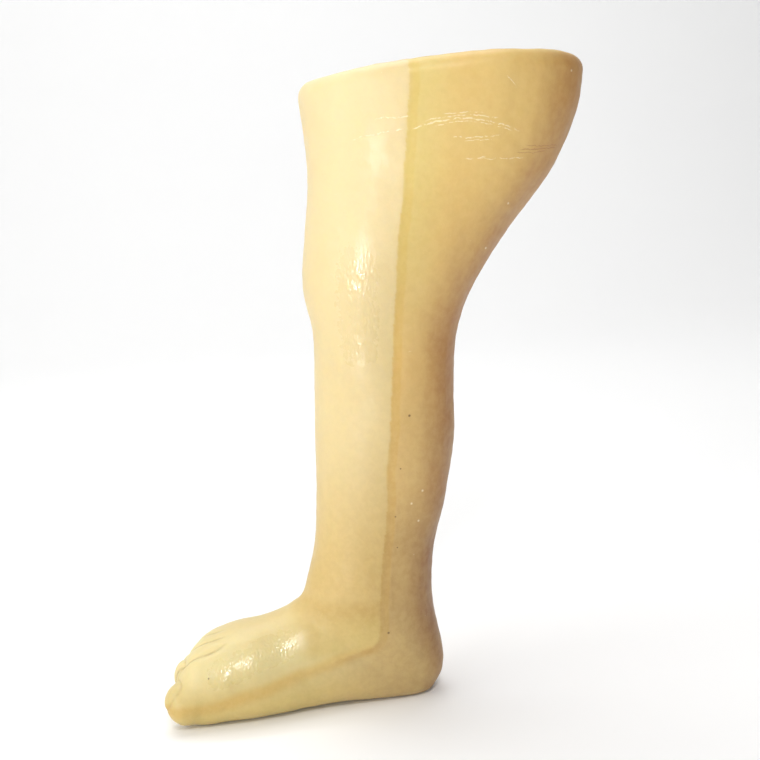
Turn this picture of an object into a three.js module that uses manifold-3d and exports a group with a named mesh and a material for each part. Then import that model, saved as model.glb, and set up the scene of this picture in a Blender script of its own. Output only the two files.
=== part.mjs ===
// A child's right above-knee prosthetic leg. A moulded foam cover in the shape of a bare leg hides
// the hard socket, a single-axis knee, the shank tube and the core of the foot.
// Millimetres. +Z is up, the toes point to -Y, the inner side of the leg is +X, the sole is z = 0.

import * as THREE from 'three';
import { mergeVertices } from 'three/addons/utils/BufferGeometryUtils.js';
import Module from 'manifold-3d';

const wasm = await Module();
wasm.setup();

// ---------------------------------------------------------------- driving dimensions

const GAP = 0.3;          // clearance between pieces that touch
const FAR = 400;          // reaches past the whole leg
const OVER = 1;           // how far a cutting tool runs past the face it leaves
const ROUND = 20;         // sides of a turned piece
const SMALL_ROUND = 8;    // sides of a screw
const OVAL_ROUND = 32;    // sides of an oval piece
const HEX = 6;            // sides of a screw's key socket
const RING_POINTS = 28;   // points round one section of the cover
const RINGS_PER_SECTION = 2;
const FRONT_SQUARENESS = 2.1;                   // 2 is an ellipse, more is squarer
const PLAIN_SECTION = { x: 0, flat: 2.2, egg: 0, crown: 0 };

const KNEE = { y: 12, z: 207 };                 // knee axis, parallel to X
const COVER_SPLIT = { thigh: 247, shin: 162 };  // heights between which the cover stretches
const TUBE = { y: 2, radius: 11, wall: 1.8, bottom: 68, top: 175 };
const RIM_RADIUS = 8;                           // rounding of the cover's top edge
const TOE_CAP_RINGS = 4;
const TOE_SIDES = 12;

// Rooms inside the cover. The knee's is an oval prism that runs past both ends of the knee cover.
const KNEE_ROOM = { halfWide: 26, halfDeep: 26.5, past: 15 };
const KNEE_BASE = { bottom: 139, shoulder: 148, radius: 20, top: 156 };
const SHANK_ROOM = { space: 2.5, ankleSpace: 2, shoulder: 93, neck: 98, top: 140 };
const SOCKET_ROOM = { below: 14, above: 12 };

const SOCKET = { floor: 249, wall: 3, floorWall: 4, openAbove: 10 };
const LINER_WALL = 4;
const PAD = { halfWide: 20, halfDeep: 24, y: 19.5, height: 8, taper: 0.9, lift: 0.6 };

const PLATE = { radius: 25, thickness: 4, screwReach: 14.5, screwHole: 2.3 };
const SOCKET_SCREW = {
  radius: 2, tip: 251.6, head: 3.9, crown: 3.2, headHeight: 2.6, edge: 1.4, key: 1.4, keyTop: 1,
};
const PYRAMID = {
  flangeRadius: 14.5, flange: 3, height: 11.5, wide: 8.5, narrow: 6.5, sunk: 0.5, boreStop: 3,
};
const RECEIVER = { radius: 18, pocket: 12.5, height: 18, screwDrop: 5.5, play: 0.6, headroom: 0.4 };
const SET_SCREW = {
  radius: 2.7, tip: 1.6, chamfer: 1.1, bite: 0.2, recess: 0.4, key: 1.4, keyDepth: 2.4, hole: 3,
};
const CLAMP = {
  radius: 15, lug: 17.5, lugHalf: 6, lugInset: 3, slit: 1.6, screwInset: 3.4,
  screwRadius: 2, headRadius: 3.1, headHeight: 3, spotFace: 0.5, key: 1.4, keyFloor: 1.2,
};

const AXLE = { radius: 4, half: 20.5, running: 0.05, groove: 3, grooveWidth: 1.4 };
const CIRCLIP = { radius: 6, thickness: 1, sidePlay: 0.2, mouthHalf: 2, reach: 8 };
const EAR = { inner: 12.3, thickness: 6, radius: 12 };
const BUSH = { radius: 6, inner: 0.4 };
const STOP_LUG = { front: 22, rear: 6, below: 10.4, above: 6 };   // measured from the knee axis
const YOKE_CLAMP = { bottom: 157, bridge: 177, bridgeTop: 189, screw: 167, side: 1 };
const YOKE_TONGUE = { half: 10, front: 23 };
const BUMPER = { half: 9, front: 22, rear: 11 };
const ANKLE_CLAMP = { top: 90, screw: 80, side: -1, slitAboveTube: 2 };

const KEEL = { half: 15, top: 40, rear: 20, heelBottom: 22, soleBottom: 9, tip: -93 };
const WEDGE_HALF = 11;
const BOLT = {
  radius: 4, head: 6.5, headHeight: 5.5, key: 3.2, keyRoof: 2, reach: 9,
  washer: 7.6, washerThickness: 1.6, seat: 27,
};
const SOLE_HOLE = { radius: 8.3, plugBottom: 0.6, plugHeight: 6 };

// Sections of the bare leg from the toes up to the shoulder of the rim. The sections lie level up
// the leg, fan round the instep and stand upright along the foot.
// front: [y, z] of the dorsal or front point, rear: [y, z] of the sole or rear point,
// half: half width, x: sideways shift, flat: squareness of the rear half, egg: widening to the front,
// crown: how far the sides rise above the line from front to rear.
const LEG_SECTIONS = [
  { front: [-108, 20], rear: [-107, 9], half: 8, x: 14, flat: 2.2, egg: 0, crown: 0 },
  { front: [-103.5, 30], rear: [-102, 1], half: 14.5, x: 10.5, flat: 2.5, egg: 0, crown: 0 },
  { front: [-98, 37], rear: [-94, -1], half: 20.5, x: 6.5, flat: 2.7, egg: -0.05, crown: 0 },
  { front: [-90, 41.5], rear: [-82, -1], half: 26, x: 1.5, flat: 2.8, egg: -0.1, crown: 0 },
  { front: [-75, 45.8], rear: [-58, -1], half: 26.5, x: 0, flat: 2.7, egg: -0.1, crown: 0 },
  { front: [-62, 48], rear: [-28, 0], half: 23.5, x: -1, flat: 2.5, egg: -0.1, crown: 0 },
  { front: [-52, 51.5], rear: [16.5, -0.9], half: 22.5, x: -2, flat: 2.8, egg: 0, crown: 0 },
  { front: [-48, 54], rear: [26.3, 4.6], half: 22, x: -1.5, flat: 2.6, egg: 0, crown: 0 },
  { front: [-42.5, 57.5], rear: [31, 18], half: 23, x: 0, flat: 2.2, egg: 0, crown: 0 },
  { front: [-37, 68], rear: [26.5, 50], half: 25.5, x: 0, flat: 2.1, egg: 0, crown: 0 },
  { front: [-33, 84], rear: [28.5, 78], half: 26.5, x: 0, flat: 2.1, egg: 0, crown: 0 },
  { front: [-30.5, 108], rear: [35.5, 104], half: 30, x: 0, flat: 2.1, egg: -0.03, crown: 0 },
  { front: [-29.5, 135], rear: [41, 133], half: 33, x: 0, flat: 2.1, egg: -0.05, crown: 0 },
  { front: [-28, 165], rear: [42.5, 163], half: 34, x: 0, flat: 2.1, egg: -0.03, crown: 0 },
  { front: [-27.5, 192], rear: [45.5, 190], half: 35, x: 0, flat: 2.1, egg: 0, crown: 0 },
  { front: [-31, 215], rear: [56, 214], half: 38.5, x: 0, flat: 2.1, egg: 0, crown: 0 },
  { front: [-28.5, 240], rear: [74.5, 240], half: 43, x: 0, flat: 2.1, egg: 0, crown: 0 },
  { front: [-25.5, 265], rear: [96, 267], half: 48, x: 0, flat: 2.2, egg: -0.05, crown: 0 },
  { front: [-26, 287], rear: [109, 293], half: 52, x: 0, flat: 2.2, egg: -0.05, crown: 2 },
  { front: [-27.5, 307], rear: [113.5, 313.5], half: 54, x: 0, flat: 2.2, egg: -0.05, crown: 5 },
];

// The toes, from the big toe out. Each is a round-ended bar from root to tip, half as wide as
// half says and taller than wide by the factor tall.
const TOES = [
  { root: [16.5, -84, 22], tip: [17.5, -104, 13.5], half: 11, tall: 1.05 },
  { root: [3.5, -84, 22], tip: [4, -101, 18.5], half: 7.5, tall: 1.75 },
  { root: [-7, -82, 22], tip: [-7.5, -97.5, 17.5], half: 7, tall: 1.75 },
  { root: [-16, -78, 20], tip: [-17, -92, 15.5], half: 6.5, tall: 1.7 },
  { root: [-23.5, -73, 17], tip: [-24.5, -85, 12.5], half: 6, tall: 1.6 },
];

// Outer sections of the socket, from its floor up to the brim.
const SOCKET_SECTIONS = [
  { front: [-13, SOCKET.floor], rear: [50, SOCKET.floor], half: 29 },
  { front: [-16, 254], rear: [66, 254], half: 35 },
  { front: [-17, 268], rear: [86, 269], half: 40 },
  { front: [-18, 288], rear: [100, 294], half: 44 },
  { front: [-19.5, 313], rear: [105, 319.5], half: 46, crown: 5 },
];

// ---------------------------------------------------------------- solids and meshes

// Turns a closed geometry into a solid that can be joined and cut.
function solidOf(geometry) {
  const bare = geometry.clone();
  bare.deleteAttribute('normal');
  bare.deleteAttribute('uv');
  const merged = mergeVertices(bare, 1e-4);
  const vertProperties = new Float32Array(merged.attributes.position.array);
  const triVerts = new Uint32Array(merged.index.array);
  return new wasm.Manifold(new wasm.Mesh({ numProp: 3, vertProperties, triVerts }));
}

function geometryOf(solid) {
  const { vertProperties, triVerts } = solid.getMesh();
  const geometry = new THREE.BufferGeometry();
  geometry.setAttribute('position', new THREE.BufferAttribute(vertProperties, 3));
  geometry.setIndex(new THREE.BufferAttribute(triVerts, 1));
  geometry.computeVertexNormals();
  return geometry;
}

function join(...solids) {
  return solids.reduce((all, next) => all.add(next));
}

function cut(base, ...tools) {
  return tools.reduce((left, tool) => left.subtract(tool), base);
}

// A box given by its low and high corners.
function block(low, high) {
  const size = high.map((value, axis) => value - low[axis]);
  const centre = high.map((value, axis) => (value + low[axis]) / 2);
  return solidOf(new THREE.BoxGeometry(...size).translate(...centre));
}

// An upright cylinder from z0 to z1 round the line x, y.
function post(radius, z0, z1, x, y, sides = ROUND) {
  const geometry = new THREE.CylinderGeometry(radius, radius, z1 - z0, sides);
  return solidOf(geometry.rotateX(Math.PI / 2).translate(x, y, (z0 + z1) / 2));
}

// A cylinder along X from x0 to x1 round the line y, z.
function rod(radius, x0, x1, y, z, sides = ROUND) {
  const geometry = new THREE.CylinderGeometry(radius, radius, x1 - x0, sides);
  return solidOf(geometry.rotateZ(Math.PI / 2).translate((x0 + x1) / 2, y, z));
}

// A turned solid: [radius, height] pairs in the order that runs up the outside, axis upright at x, y.
function turned(profile, x, y, sides = ROUND) {
  const points = profile.map(([radius, height]) => new THREE.Vector2(radius, height));
  return solidOf(new THREE.LatheGeometry(points, sides).rotateX(Math.PI / 2).translate(x, y, 0));
}

// A side outline of [y, z] points carried across the leg from -half to +half.
function plank(outline, half) {
  const shape = new THREE.Shape(outline.map(([y, z]) => new THREE.Vector2(y, z)));
  const geometry = new THREE.ExtrudeGeometry(shape, { depth: 2 * half, bevelEnabled: false });
  const turn = new THREE.Matrix4().makeBasis(
    new THREE.Vector3(0, 1, 0), new THREE.Vector3(0, 0, 1), new THREE.Vector3(1, 0, 0));
  return solidOf(geometry.applyMatrix4(turn).translate(-half, 0, 0));
}

// ---------------------------------------------------------------- lofted shapes

// The points round one section, starting at its front and going towards +X.
function sectionRing({ front, rear, half, x, flat, egg, crown }) {
  const ring = [];
  for (let i = 0; i < RING_POINTS; i += 1) {
    const angle = (2 * Math.PI * i) / RING_POINTS;
    const along = Math.cos(angle);
    const across = Math.sin(angle);
    const power = 2 / (along >= 0 ? FRONT_SQUARENESS : flat);
    const u = Math.sign(along) * Math.abs(along) ** power;
    const v = Math.sign(across) * Math.abs(across) ** power;
    ring.push(new THREE.Vector3(
      x + half * v * (1 + egg * u),
      (front[0] + rear[0]) / 2 + (u * (front[0] - rear[0])) / 2,
      (front[1] + rear[1]) / 2 + (u * (front[1] - rear[1])) / 2 + crown * across ** 2,
    ));
  }
  return ring;
}

// Smooth sections in between the given ones, so that the outline runs through every given point.
function smoothSections(sections, steps) {
  const full = sections.map((s) => ({ ...PLAIN_SECTION, ...s }));
  const curve = (pick) => new THREE.CatmullRomCurve3(
    full.map((s) => new THREE.Vector3(...pick(s))), false, 'catmullrom', 0.5);
  const fronts = curve((s) => [s.front[0], s.front[1], s.half]);
  const rears = curve((s) => [s.rear[0], s.rear[1], s.crown]);
  const traits = curve((s) => [s.x, s.flat, s.egg]);
  const count = (full.length - 1) * steps;
  const result = [];
  for (let i = 0; i <= count; i += 1) {
    const f = fronts.getPoint(i / count);
    const r = rears.getPoint(i / count);
    const t = traits.getPoint(i / count);
    result.push({
      front: [f.x, f.y], rear: [r.x, r.y], half: f.z, crown: r.z, x: t.x, flat: t.y, egg: t.z,
    });
  }
  return result;
}

// A closed solid through rings that are listed upwards.
function loft(rings) {
  const size = rings[0].length;
  const points = rings.flat();
  const index = [];
  for (let r = 0; r + 1 < rings.length; r += 1) {
    for (let i = 0; i < size; i += 1) {
      const a = r * size + i;
      const b = r * size + ((i + 1) % size);
      index.push(a, b, b + size, a, b + size, a + size);
    }
  }
  const lowCentre = points.length;
  const highCentre = lowCentre + 1;
  const highStart = (rings.length - 1) * size;
  for (let i = 0; i < size; i += 1) {
    const next = (i + 1) % size;
    index.push(lowCentre, next, i);
    index.push(highCentre, highStart + i, highStart + next);
  }
  const geometry = new THREE.BufferGeometry().setFromPoints(
    [...points, centreOf(rings[0]), centreOf(rings[rings.length - 1])]);
  geometry.setIndex(index);
  return solidOf(geometry);
}

function centreOf(ring) {
  return ring.reduce((sum, p) => sum.add(p), new THREE.Vector3()).divideScalar(ring.length);
}

// Carries a ring up and inwards, which rounds an edge or, with no inset, makes a straight wall.
function liftedRing(ring, rise, inset) {
  const centre = centreOf(ring);
  return ring.map((p) => {
    const inward = new THREE.Vector3(centre.x - p.x, centre.y - p.y, 0).setLength(inset);
    return p.clone().add(inward).add(new THREE.Vector3(0, 0, rise));
  });
}

// The bare leg as one closed solid: the smooth form, its rounded rim and the five toes.
function legForm() {
  const rings = smoothSections(LEG_SECTIONS, RINGS_PER_SECTION).map(sectionRing);
  const shoulder = rings[rings.length - 1];
  for (const degrees of [30, 60, 90]) {
    const turn = THREE.MathUtils.degToRad(degrees);
    rings.push(liftedRing(shoulder, RIM_RADIUS * Math.sin(turn), RIM_RADIUS * (1 - Math.cos(turn))));
  }
  const aboveFloor = block([-FAR, -FAR, 0], [FAR, FAR, FAR]);
  return join(loft(rings), ...TOES.map(toeSolid)).intersect(aboveFloor);
}

function toeSolid({ root, tip, half, tall }) {
  const start = new THREE.Vector3(...root);
  const end = new THREE.Vector3(...tip);
  const along = end.clone().sub(start);
  const geometry = new THREE.CapsuleGeometry(half, along.length(), TOE_CAP_RINGS, TOE_SIDES);
  const turn = new THREE.Quaternion().setFromUnitVectors(new THREE.Vector3(0, 1, 0), along.normalize());
  geometry.scale(1, 1, tall).applyQuaternion(turn);
  return solidOf(geometry.translate(...start.add(end).multiplyScalar(0.5).toArray()));
}

// Rings of the socket with every wall moved in by inset and its floor raised by lift. The floor
// rises in full and the brim not at all. brimRise adds a straight wall above the brim.
function socketShape(inset, lift, brimRise = 0) {
  const last = SOCKET_SECTIONS.length - 1;
  const moved = SOCKET_SECTIONS.map((s, i) => ({
    ...s,
    front: [s.front[0] + inset, s.front[1] + lift * (1 - i / last)],
    rear: [s.rear[0] - inset, s.rear[1] + lift * (1 - i / last)],
    half: s.half - inset,
  }));
  const rings = smoothSections(moved, RINGS_PER_SECTION).map(sectionRing);
  if (brimRise > 0) {
    rings.push(liftedRing(rings[rings.length - 1], brimRise, 0));
  }
  return rings;
}

// ---------------------------------------------------------------- cover

// The room inside the cover for the knee, the tube, the ankle clamp and the core of the foot.
function kneeRoom() {
  const height = COVER_SPLIT.thigh - COVER_SPLIT.shin + 2 * KNEE_ROOM.past;
  const oval = new THREE.CylinderGeometry(1, 1, height, OVAL_ROUND).rotateX(Math.PI / 2);
  oval.scale(KNEE_ROOM.halfWide, KNEE_ROOM.halfDeep, 1);
  return solidOf(oval.translate(0, KNEE.y, (COVER_SPLIT.thigh + COVER_SPLIT.shin) / 2));
}

function shankRoom() {
  const bottom = KEEL.top - GAP;
  const ankle = RECEIVER.radius + SHANK_ROOM.ankleSpace;
  const tube = TUBE.radius + SHANK_ROOM.space;
  return turned([
    [0, bottom], [ankle, bottom], [ankle, SHANK_ROOM.shoulder], [tube, SHANK_ROOM.neck],
    [tube, SHANK_ROOM.top], [0, SHANK_ROOM.top],
  ], 0, TUBE.y);
}

function kneeBase() {
  const { bottom, shoulder, radius, top } = KNEE_BASE;
  return turned([
    [0, bottom], [TUBE.radius + SHANK_ROOM.space, bottom], [radius, shoulder], [radius, top], [0, top],
  ], 0, TUBE.y);
}

function footRoom() {
  return join(
    plank(keelOutline(GAP), KEEL.half + GAP),
    plank(wedgeOutline(GAP), WEDGE_HALF + GAP),
    post(SOLE_HOLE.radius, -OVER, KEEL.heelBottom, 0, TUBE.y),
  );
}

function slab(low, high) {
  return block([-FAR, -FAR, low], [FAR, FAR, high]);
}

function thighCover() {
  const outer = socketShape(-GAP, 0, SOCKET_ROOM.above);
  const room = loft([liftedRing(outer[0], -SOCKET_ROOM.below, 0), ...outer]);
  return cut(legForm().intersect(slab(COVER_SPLIT.thigh, FAR)), room);
}

function kneeCover() {
  const band = legForm().intersect(slab(COVER_SPLIT.shin, COVER_SPLIT.thigh - GAP));
  return cut(band, kneeRoom());
}

function shinCover() {
  const shank = legForm().intersect(slab(-OVER, COVER_SPLIT.shin - GAP));
  return cut(shank, kneeRoom(), kneeBase(), shankRoom(), footRoom());
}

function solePlug() {
  const { radius, plugBottom, plugHeight } = SOLE_HOLE;
  return post(radius - GAP, plugBottom, plugBottom + plugHeight, 0, TUBE.y);
}

// ---------------------------------------------------------------- socket

function socketShell() {
  const { floor, wall, floorWall, openAbove } = SOCKET;
  const screwHoles = screwPlaces().map(
    ([x, y]) => post(PLATE.screwHole, floor - OVER, SOCKET_SCREW.tip + GAP, x, y, SMALL_ROUND));
  return cut(loft(socketShape(0, 0)), loft(socketShape(wall, floorWall, openAbove)), ...screwHoles);
}

function socketLiner() {
  const inset = SOCKET.wall + GAP;
  const lift = SOCKET.floorWall + GAP;
  return cut(
    loft(socketShape(inset, lift)),
    loft(socketShape(inset + LINER_WALL, lift + LINER_WALL, SOCKET.openAbove)),
  );
}

// An oval pad that lies on the liner's floor and widens upwards as the liner does.
function distalEndPad() {
  const bottom = SOCKET.floor + SOCKET.floorWall + LINER_WALL + 2 * GAP + PAD.lift;
  const pad = new THREE.CylinderGeometry(1, PAD.taper, PAD.height, OVAL_ROUND).rotateX(Math.PI / 2);
  pad.scale(PAD.halfWide, PAD.halfDeep, 1);
  return solidOf(pad.translate(0, PAD.y, bottom + PAD.height / 2));
}

function screwPlaces() {
  const reach = PLATE.screwReach;
  return [[-reach, -reach], [reach, -reach], [reach, reach], [-reach, reach]]
    .map(([x, y]) => [x, KNEE.y + y]);
}

function plateBottom() {
  return SOCKET.floor - GAP - PLATE.thickness;
}

function socketPlate() {
  const bottom = plateBottom();
  const top = bottom + PLATE.thickness;
  const holes = screwPlaces().map(
    ([x, y]) => post(PLATE.screwHole, bottom - OVER, top + OVER, x, y, SMALL_ROUND));
  return cut(post(PLATE.radius, bottom, top, 0, KNEE.y), ...holes);
}

// A button-head screw that comes up through the plate into the socket's floor.
function socketScrew([x, y]) {
  const { radius, tip, head, crown, headHeight, edge, key, keyTop } = SOCKET_SCREW;
  const seat = plateBottom() - GAP;
  return turned([
    [0, seat - keyTop], [key, seat - keyTop], [key, seat - headHeight], [crown, seat - headHeight],
    [head, seat - edge], [head, seat], [radius, seat], [radius, tip], [0, tip],
  ], x, y, SMALL_ROUND);
}

// ---------------------------------------------------------------- pyramid joints

// A flange with a square stud that is wider at its free end.
// The flange starts at z = base and the stud points up (+1) or down (-1).
function pyramidSolid(y, base, direction, holeRadius = 0) {
  const { flangeRadius, flange, height, wide, narrow, sunk, boreStop } = PYRAMID;
  const flangePart = post(flangeRadius, 0, flange, 0, 0);
  const stud = new THREE.CylinderGeometry(wide * Math.SQRT2, narrow * Math.SQRT2, height, 4);
  stud.rotateY(Math.PI / 4).rotateX(Math.PI / 2).translate(0, 0, flange + height / 2 - sunk);
  let whole = join(flangePart, solidOf(stud));
  if (holeRadius > 0) {
    whole = cut(whole, post(holeRadius, -OVER, flange + height - boreStop, 0, 0));
  }
  const geometry = geometryOf(whole);
  if (direction < 0) {
    geometry.rotateX(Math.PI);
  }
  return solidOf(geometry.translate(0, y, base));
}

// Four set screws bear on the four flat faces of the stud.
function setScrewTurns() {
  return [0, 90, 180, 270].map((degrees) => THREE.MathUtils.degToRad(degrees));
}

// A headless screw with a socket in its outer end. It lies along a radius at the given turn.
function setScrew(turn, y, z) {
  const { radius, tip, chamfer, bite, recess, key, keyDepth } = SET_SCREW;
  const inner = PYRAMID.wide - bite;
  const outer = RECEIVER.radius - recess;
  return radial(turned([
    [0, inner], [tip, inner], [radius, inner + chamfer], [radius, outer], [key, outer],
    [key, outer - keyDepth], [0, outer - keyDepth],
  ], 0, 0, SMALL_ROUND), turn, y, z);
}

function radial(solid, turn, y, z) {
  const geometry = geometryOf(solid);
  geometry.rotateY(Math.PI / 2).rotateZ(turn).translate(0, y, z);
  return solidOf(geometry);
}

function setScrewHoles(y, z) {
  const start = PYRAMID.narrow - OVER;
  const end = RECEIVER.radius + OVER;
  return setScrewTurns().map(
    (turn) => radial(post(SET_SCREW.hole, start, end, 0, 0, SMALL_ROUND), turn, y, z));
}

// ---------------------------------------------------------------- knee

function kneeHeadTop() {
  return plateBottom() - GAP - PYRAMID.flange - RECEIVER.play;
}

function kneeHead() {
  const top = kneeHeadTop();
  const bottom = top - RECEIVER.height;
  const { y, z } = KNEE;
  const { front, rear, below, above } = STOP_LUG;
  const half = EAR.inner - GAP;
  const hub = rod(EAR.radius, -half, half, y, z);
  const neck = block([-half, y - EAR.radius, z], [half, y + EAR.radius - OVER, bottom + OVER]);
  const stopLug = block([-half, y - front, z - below], [half, y - rear, z + above]);
  const receiver = post(RECEIVER.radius, bottom, top, 0, y);
  return cut(
    join(hub, neck, stopLug, receiver),
    post(RECEIVER.pocket, top - PYRAMID.height - RECEIVER.headroom, top + OVER, 0, y),
    rod(BUSH.radius + GAP, -half - OVER, half + OVER, y, z),
    ...setScrewHoles(y, top - RECEIVER.screwDrop),
  );
}

function kneeBush(side) {
  const [low, high] = [side * BUSH.inner, side * (EAR.inner - GAP)].sort((a, b) => a - b);
  return cut(
    rod(BUSH.radius, low, high, KNEE.y, KNEE.z),
    rod(AXLE.radius + AXLE.running, low - OVER, high + OVER, KNEE.y, KNEE.z),
  );
}

function grooveStart() {
  return EAR.inner + EAR.thickness + GAP;
}

function kneeAxle() {
  const grooves = [-1, 1].map((side) => {
    const ends = [side * grooveStart(), side * (grooveStart() + AXLE.grooveWidth)];
    const [low, high] = ends.sort((a, b) => a - b);
    return cut(
      rod(AXLE.radius + OVER, low, high, KNEE.y, KNEE.z),
      rod(AXLE.groove, low - OVER, high + OVER, KNEE.y, KNEE.z),
    );
  });
  return cut(rod(AXLE.radius, -AXLE.half, AXLE.half, KNEE.y, KNEE.z), ...grooves);
}

// An open spring ring in the groove at one end of the axle.
function axleCirclip(side) {
  const { radius, thickness, sidePlay, mouthHalf, reach } = CIRCLIP;
  const start = grooveStart() + sidePlay;
  const [low, high] = [side * start, side * (start + thickness)].sort((a, b) => a - b);
  return cut(
    rod(radius, low, high, KNEE.y, KNEE.z),
    rod(AXLE.groove + GAP, low - OVER, high + OVER, KNEE.y, KNEE.z),
    block([low - OVER, KNEE.y - mouthHalf, KNEE.z - reach], [high + OVER, KNEE.y + mouthHalf, KNEE.z]),
  );
}

// A split clamp round the tube with a lug on the front (-1) or the rear (+1).
function tubeClamp(z0, z1, side) {
  const { radius, lug, lugHalf, lugInset } = CLAMP;
  const lugEnds = [TUBE.y, TUBE.y + side * lug].sort((a, b) => a - b);
  return join(
    post(radius, z0, z1, 0, TUBE.y),
    block([-lugHalf, lugEnds[0], z0 + lugInset], [lugHalf, lugEnds[1], z1 - lugInset]),
  );
}

function clampSlit(z0, z1, side) {
  const ends = [TUBE.y, TUBE.y + side * (CLAMP.lug + OVER)].sort((a, b) => a - b);
  return block([-CLAMP.slit / 2, ends[0], z0], [CLAMP.slit / 2, ends[1], z1]);
}

function clampScrewY(side) {
  return TUBE.y + side * (CLAMP.lug - CLAMP.screwInset);
}

// A cap screw across the slit, head on the +X side.
function clampScrew(z, side) {
  const { lugHalf, screwRadius, headRadius, headHeight, key, keyFloor } = CLAMP;
  const y = clampScrewY(side);
  const face = lugHalf + GAP;
  return cut(
    join(
      rod(screwRadius, OVER - lugHalf, face + OVER, y, z, SMALL_ROUND),
      rod(headRadius, face, face + headHeight, y, z, SMALL_ROUND),
    ),
    rod(key, face + keyFloor, face + headHeight + OVER, y, z, HEX),
  );
}

function clampScrewHole(z, side) {
  const y = clampScrewY(side);
  return join(
    rod(CLAMP.screwRadius + GAP, -FAR, FAR, y, z, SMALL_ROUND),
    rod(CLAMP.headRadius + CLAMP.spotFace, CLAMP.lugHalf, FAR, y, z, SMALL_ROUND),
  );
}

function kneeYoke() {
  const { bottom, bridge, bridgeTop, screw, side } = YOKE_CLAMP;
  const { y, z } = KNEE;
  const outer = EAR.inner + EAR.thickness;
  const ear = (low, high) => join(
    rod(EAR.radius, low, high, y, z),
    block([low, y - EAR.radius, bridge + OVER], [high, y + EAR.radius - 2, z]),
  );
  const body = join(
    tubeClamp(bottom, bridge + OVER, side),
    block([-outer, y - EAR.radius, bridge], [outer, y + EAR.radius - 2, bridgeTop]),
    block([-YOKE_TONGUE.half, y - YOKE_TONGUE.front, bridge], [YOKE_TONGUE.half, y, bridgeTop]),
    ear(-outer, -EAR.inner),
    ear(EAR.inner, outer),
  );
  return cut(
    body,
    post(TUBE.radius + GAP, bottom - OVER, TUBE.top + GAP, 0, TUBE.y),
    clampSlit(bottom - OVER, bridge - 2, side),
    clampScrewHole(screw, side),
    rod(AXLE.radius + AXLE.running, -FAR, FAR, y, z),
  );
}

// The rubber stop stands on the yoke's tongue under the head's stop lug.
function extensionBumper() {
  const { half, front, rear } = BUMPER;
  const bottom = YOKE_CLAMP.bridgeTop + GAP;
  const top = KNEE.z - STOP_LUG.below - GAP;
  return block([-half, KNEE.y - front, bottom], [half, KNEE.y - rear, top]);
}

// ---------------------------------------------------------------- shank and ankle

function pylonTube() {
  const { radius, wall, bottom, top, y } = TUBE;
  return cut(post(radius, bottom, top, 0, y), post(radius - wall, bottom - OVER, top + OVER, 0, y));
}

function footPyramidBase() {
  return KEEL.top + GAP;
}

function ankleClampBottom() {
  return footPyramidBase() + PYRAMID.flange + RECEIVER.play;
}

function ankleClamp() {
  const bottom = ankleClampBottom();
  const split = bottom + RECEIVER.height;
  const { top, screw, side, slitAboveTube } = ANKLE_CLAMP;
  return cut(
    join(post(RECEIVER.radius, bottom, split, 0, TUBE.y), tubeClamp(split - OVER, top, side)),
    post(RECEIVER.pocket, bottom - OVER, bottom + PYRAMID.height + RECEIVER.headroom, 0, TUBE.y),
    post(TUBE.radius + GAP, TUBE.bottom - GAP, top + OVER, 0, TUBE.y),
    clampSlit(TUBE.bottom + slitAboveTube, top + OVER, side),
    clampScrewHole(screw, side),
    ...setScrewHoles(TUBE.y, bottom + RECEIVER.screwDrop),
  );
}

// ---------------------------------------------------------------- foot

// Side outline of the stiff core, with grow added all round.
function keelOutline(grow = 0) {
  const { top, rear, heelBottom, soleBottom, tip } = KEEL;
  return [
    [rear + grow, heelBottom - grow],
    [rear + grow, top - 5 + grow],
    [rear - 4 + grow, top + grow],
    [-17 - grow, top + grow],
    [-42 - grow, 30 + grow],
    [tip + 5 - grow, 21 + grow],
    [tip - grow, 15],
    [tip + 5 - grow, soleBottom - grow],
    [-36 + grow, soleBottom - grow],
    [-22 + grow, heelBottom - grow],
  ];
}

// Side outline of the soft heel wedge, which fills the step under the rear of the core.
function wedgeOutline(grow = 0) {
  const { heelBottom } = KEEL;
  return [
    [15 + grow, 9 - grow],
    [22 + grow, 18],
    [22 + grow, heelBottom - GAP + grow],
    [-21 - grow, heelBottom - GAP + grow],
    [-33 - grow, 9 - grow],
  ];
}

function footKeel() {
  return cut(
    plank(keelOutline(), KEEL.half),
    post(SOLE_HOLE.radius, KEEL.heelBottom - OVER, BOLT.seat, 0, TUBE.y),
    post(BOLT.radius + GAP, BOLT.seat - OVER, KEEL.top + OVER, 0, TUBE.y),
  );
}

function heelWedge() {
  return cut(
    plank(wedgeOutline(), WEDGE_HALF),
    post(SOLE_HOLE.radius, 0, KEEL.heelBottom + OVER, 0, TUBE.y),
  );
}

function footWasher() {
  const { washer, washerThickness, radius, seat } = BOLT;
  const top = seat - GAP;
  return cut(
    post(washer, top - washerThickness, top, 0, TUBE.y),
    post(radius + GAP, top - washerThickness - OVER, top + OVER, 0, TUBE.y),
  );
}

function footBolt() {
  const { radius, head, headHeight, key, keyRoof, reach, seat, washerThickness } = BOLT;
  const headTop = seat - washerThickness - 2 * GAP;
  const headBottom = headTop - headHeight;
  return cut(
    join(
      post(head, headBottom, headTop, 0, TUBE.y),
      post(radius, headTop - OVER, footPyramidBase() + reach, 0, TUBE.y),
    ),
    post(key, headBottom - OVER, headTop - keyRoof, 0, TUBE.y, HEX),
  );
}

// ---------------------------------------------------------------- materials and the assembled leg

const finish = (color, roughness, metalness = 0) => ({ color, roughness, metalness });

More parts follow.
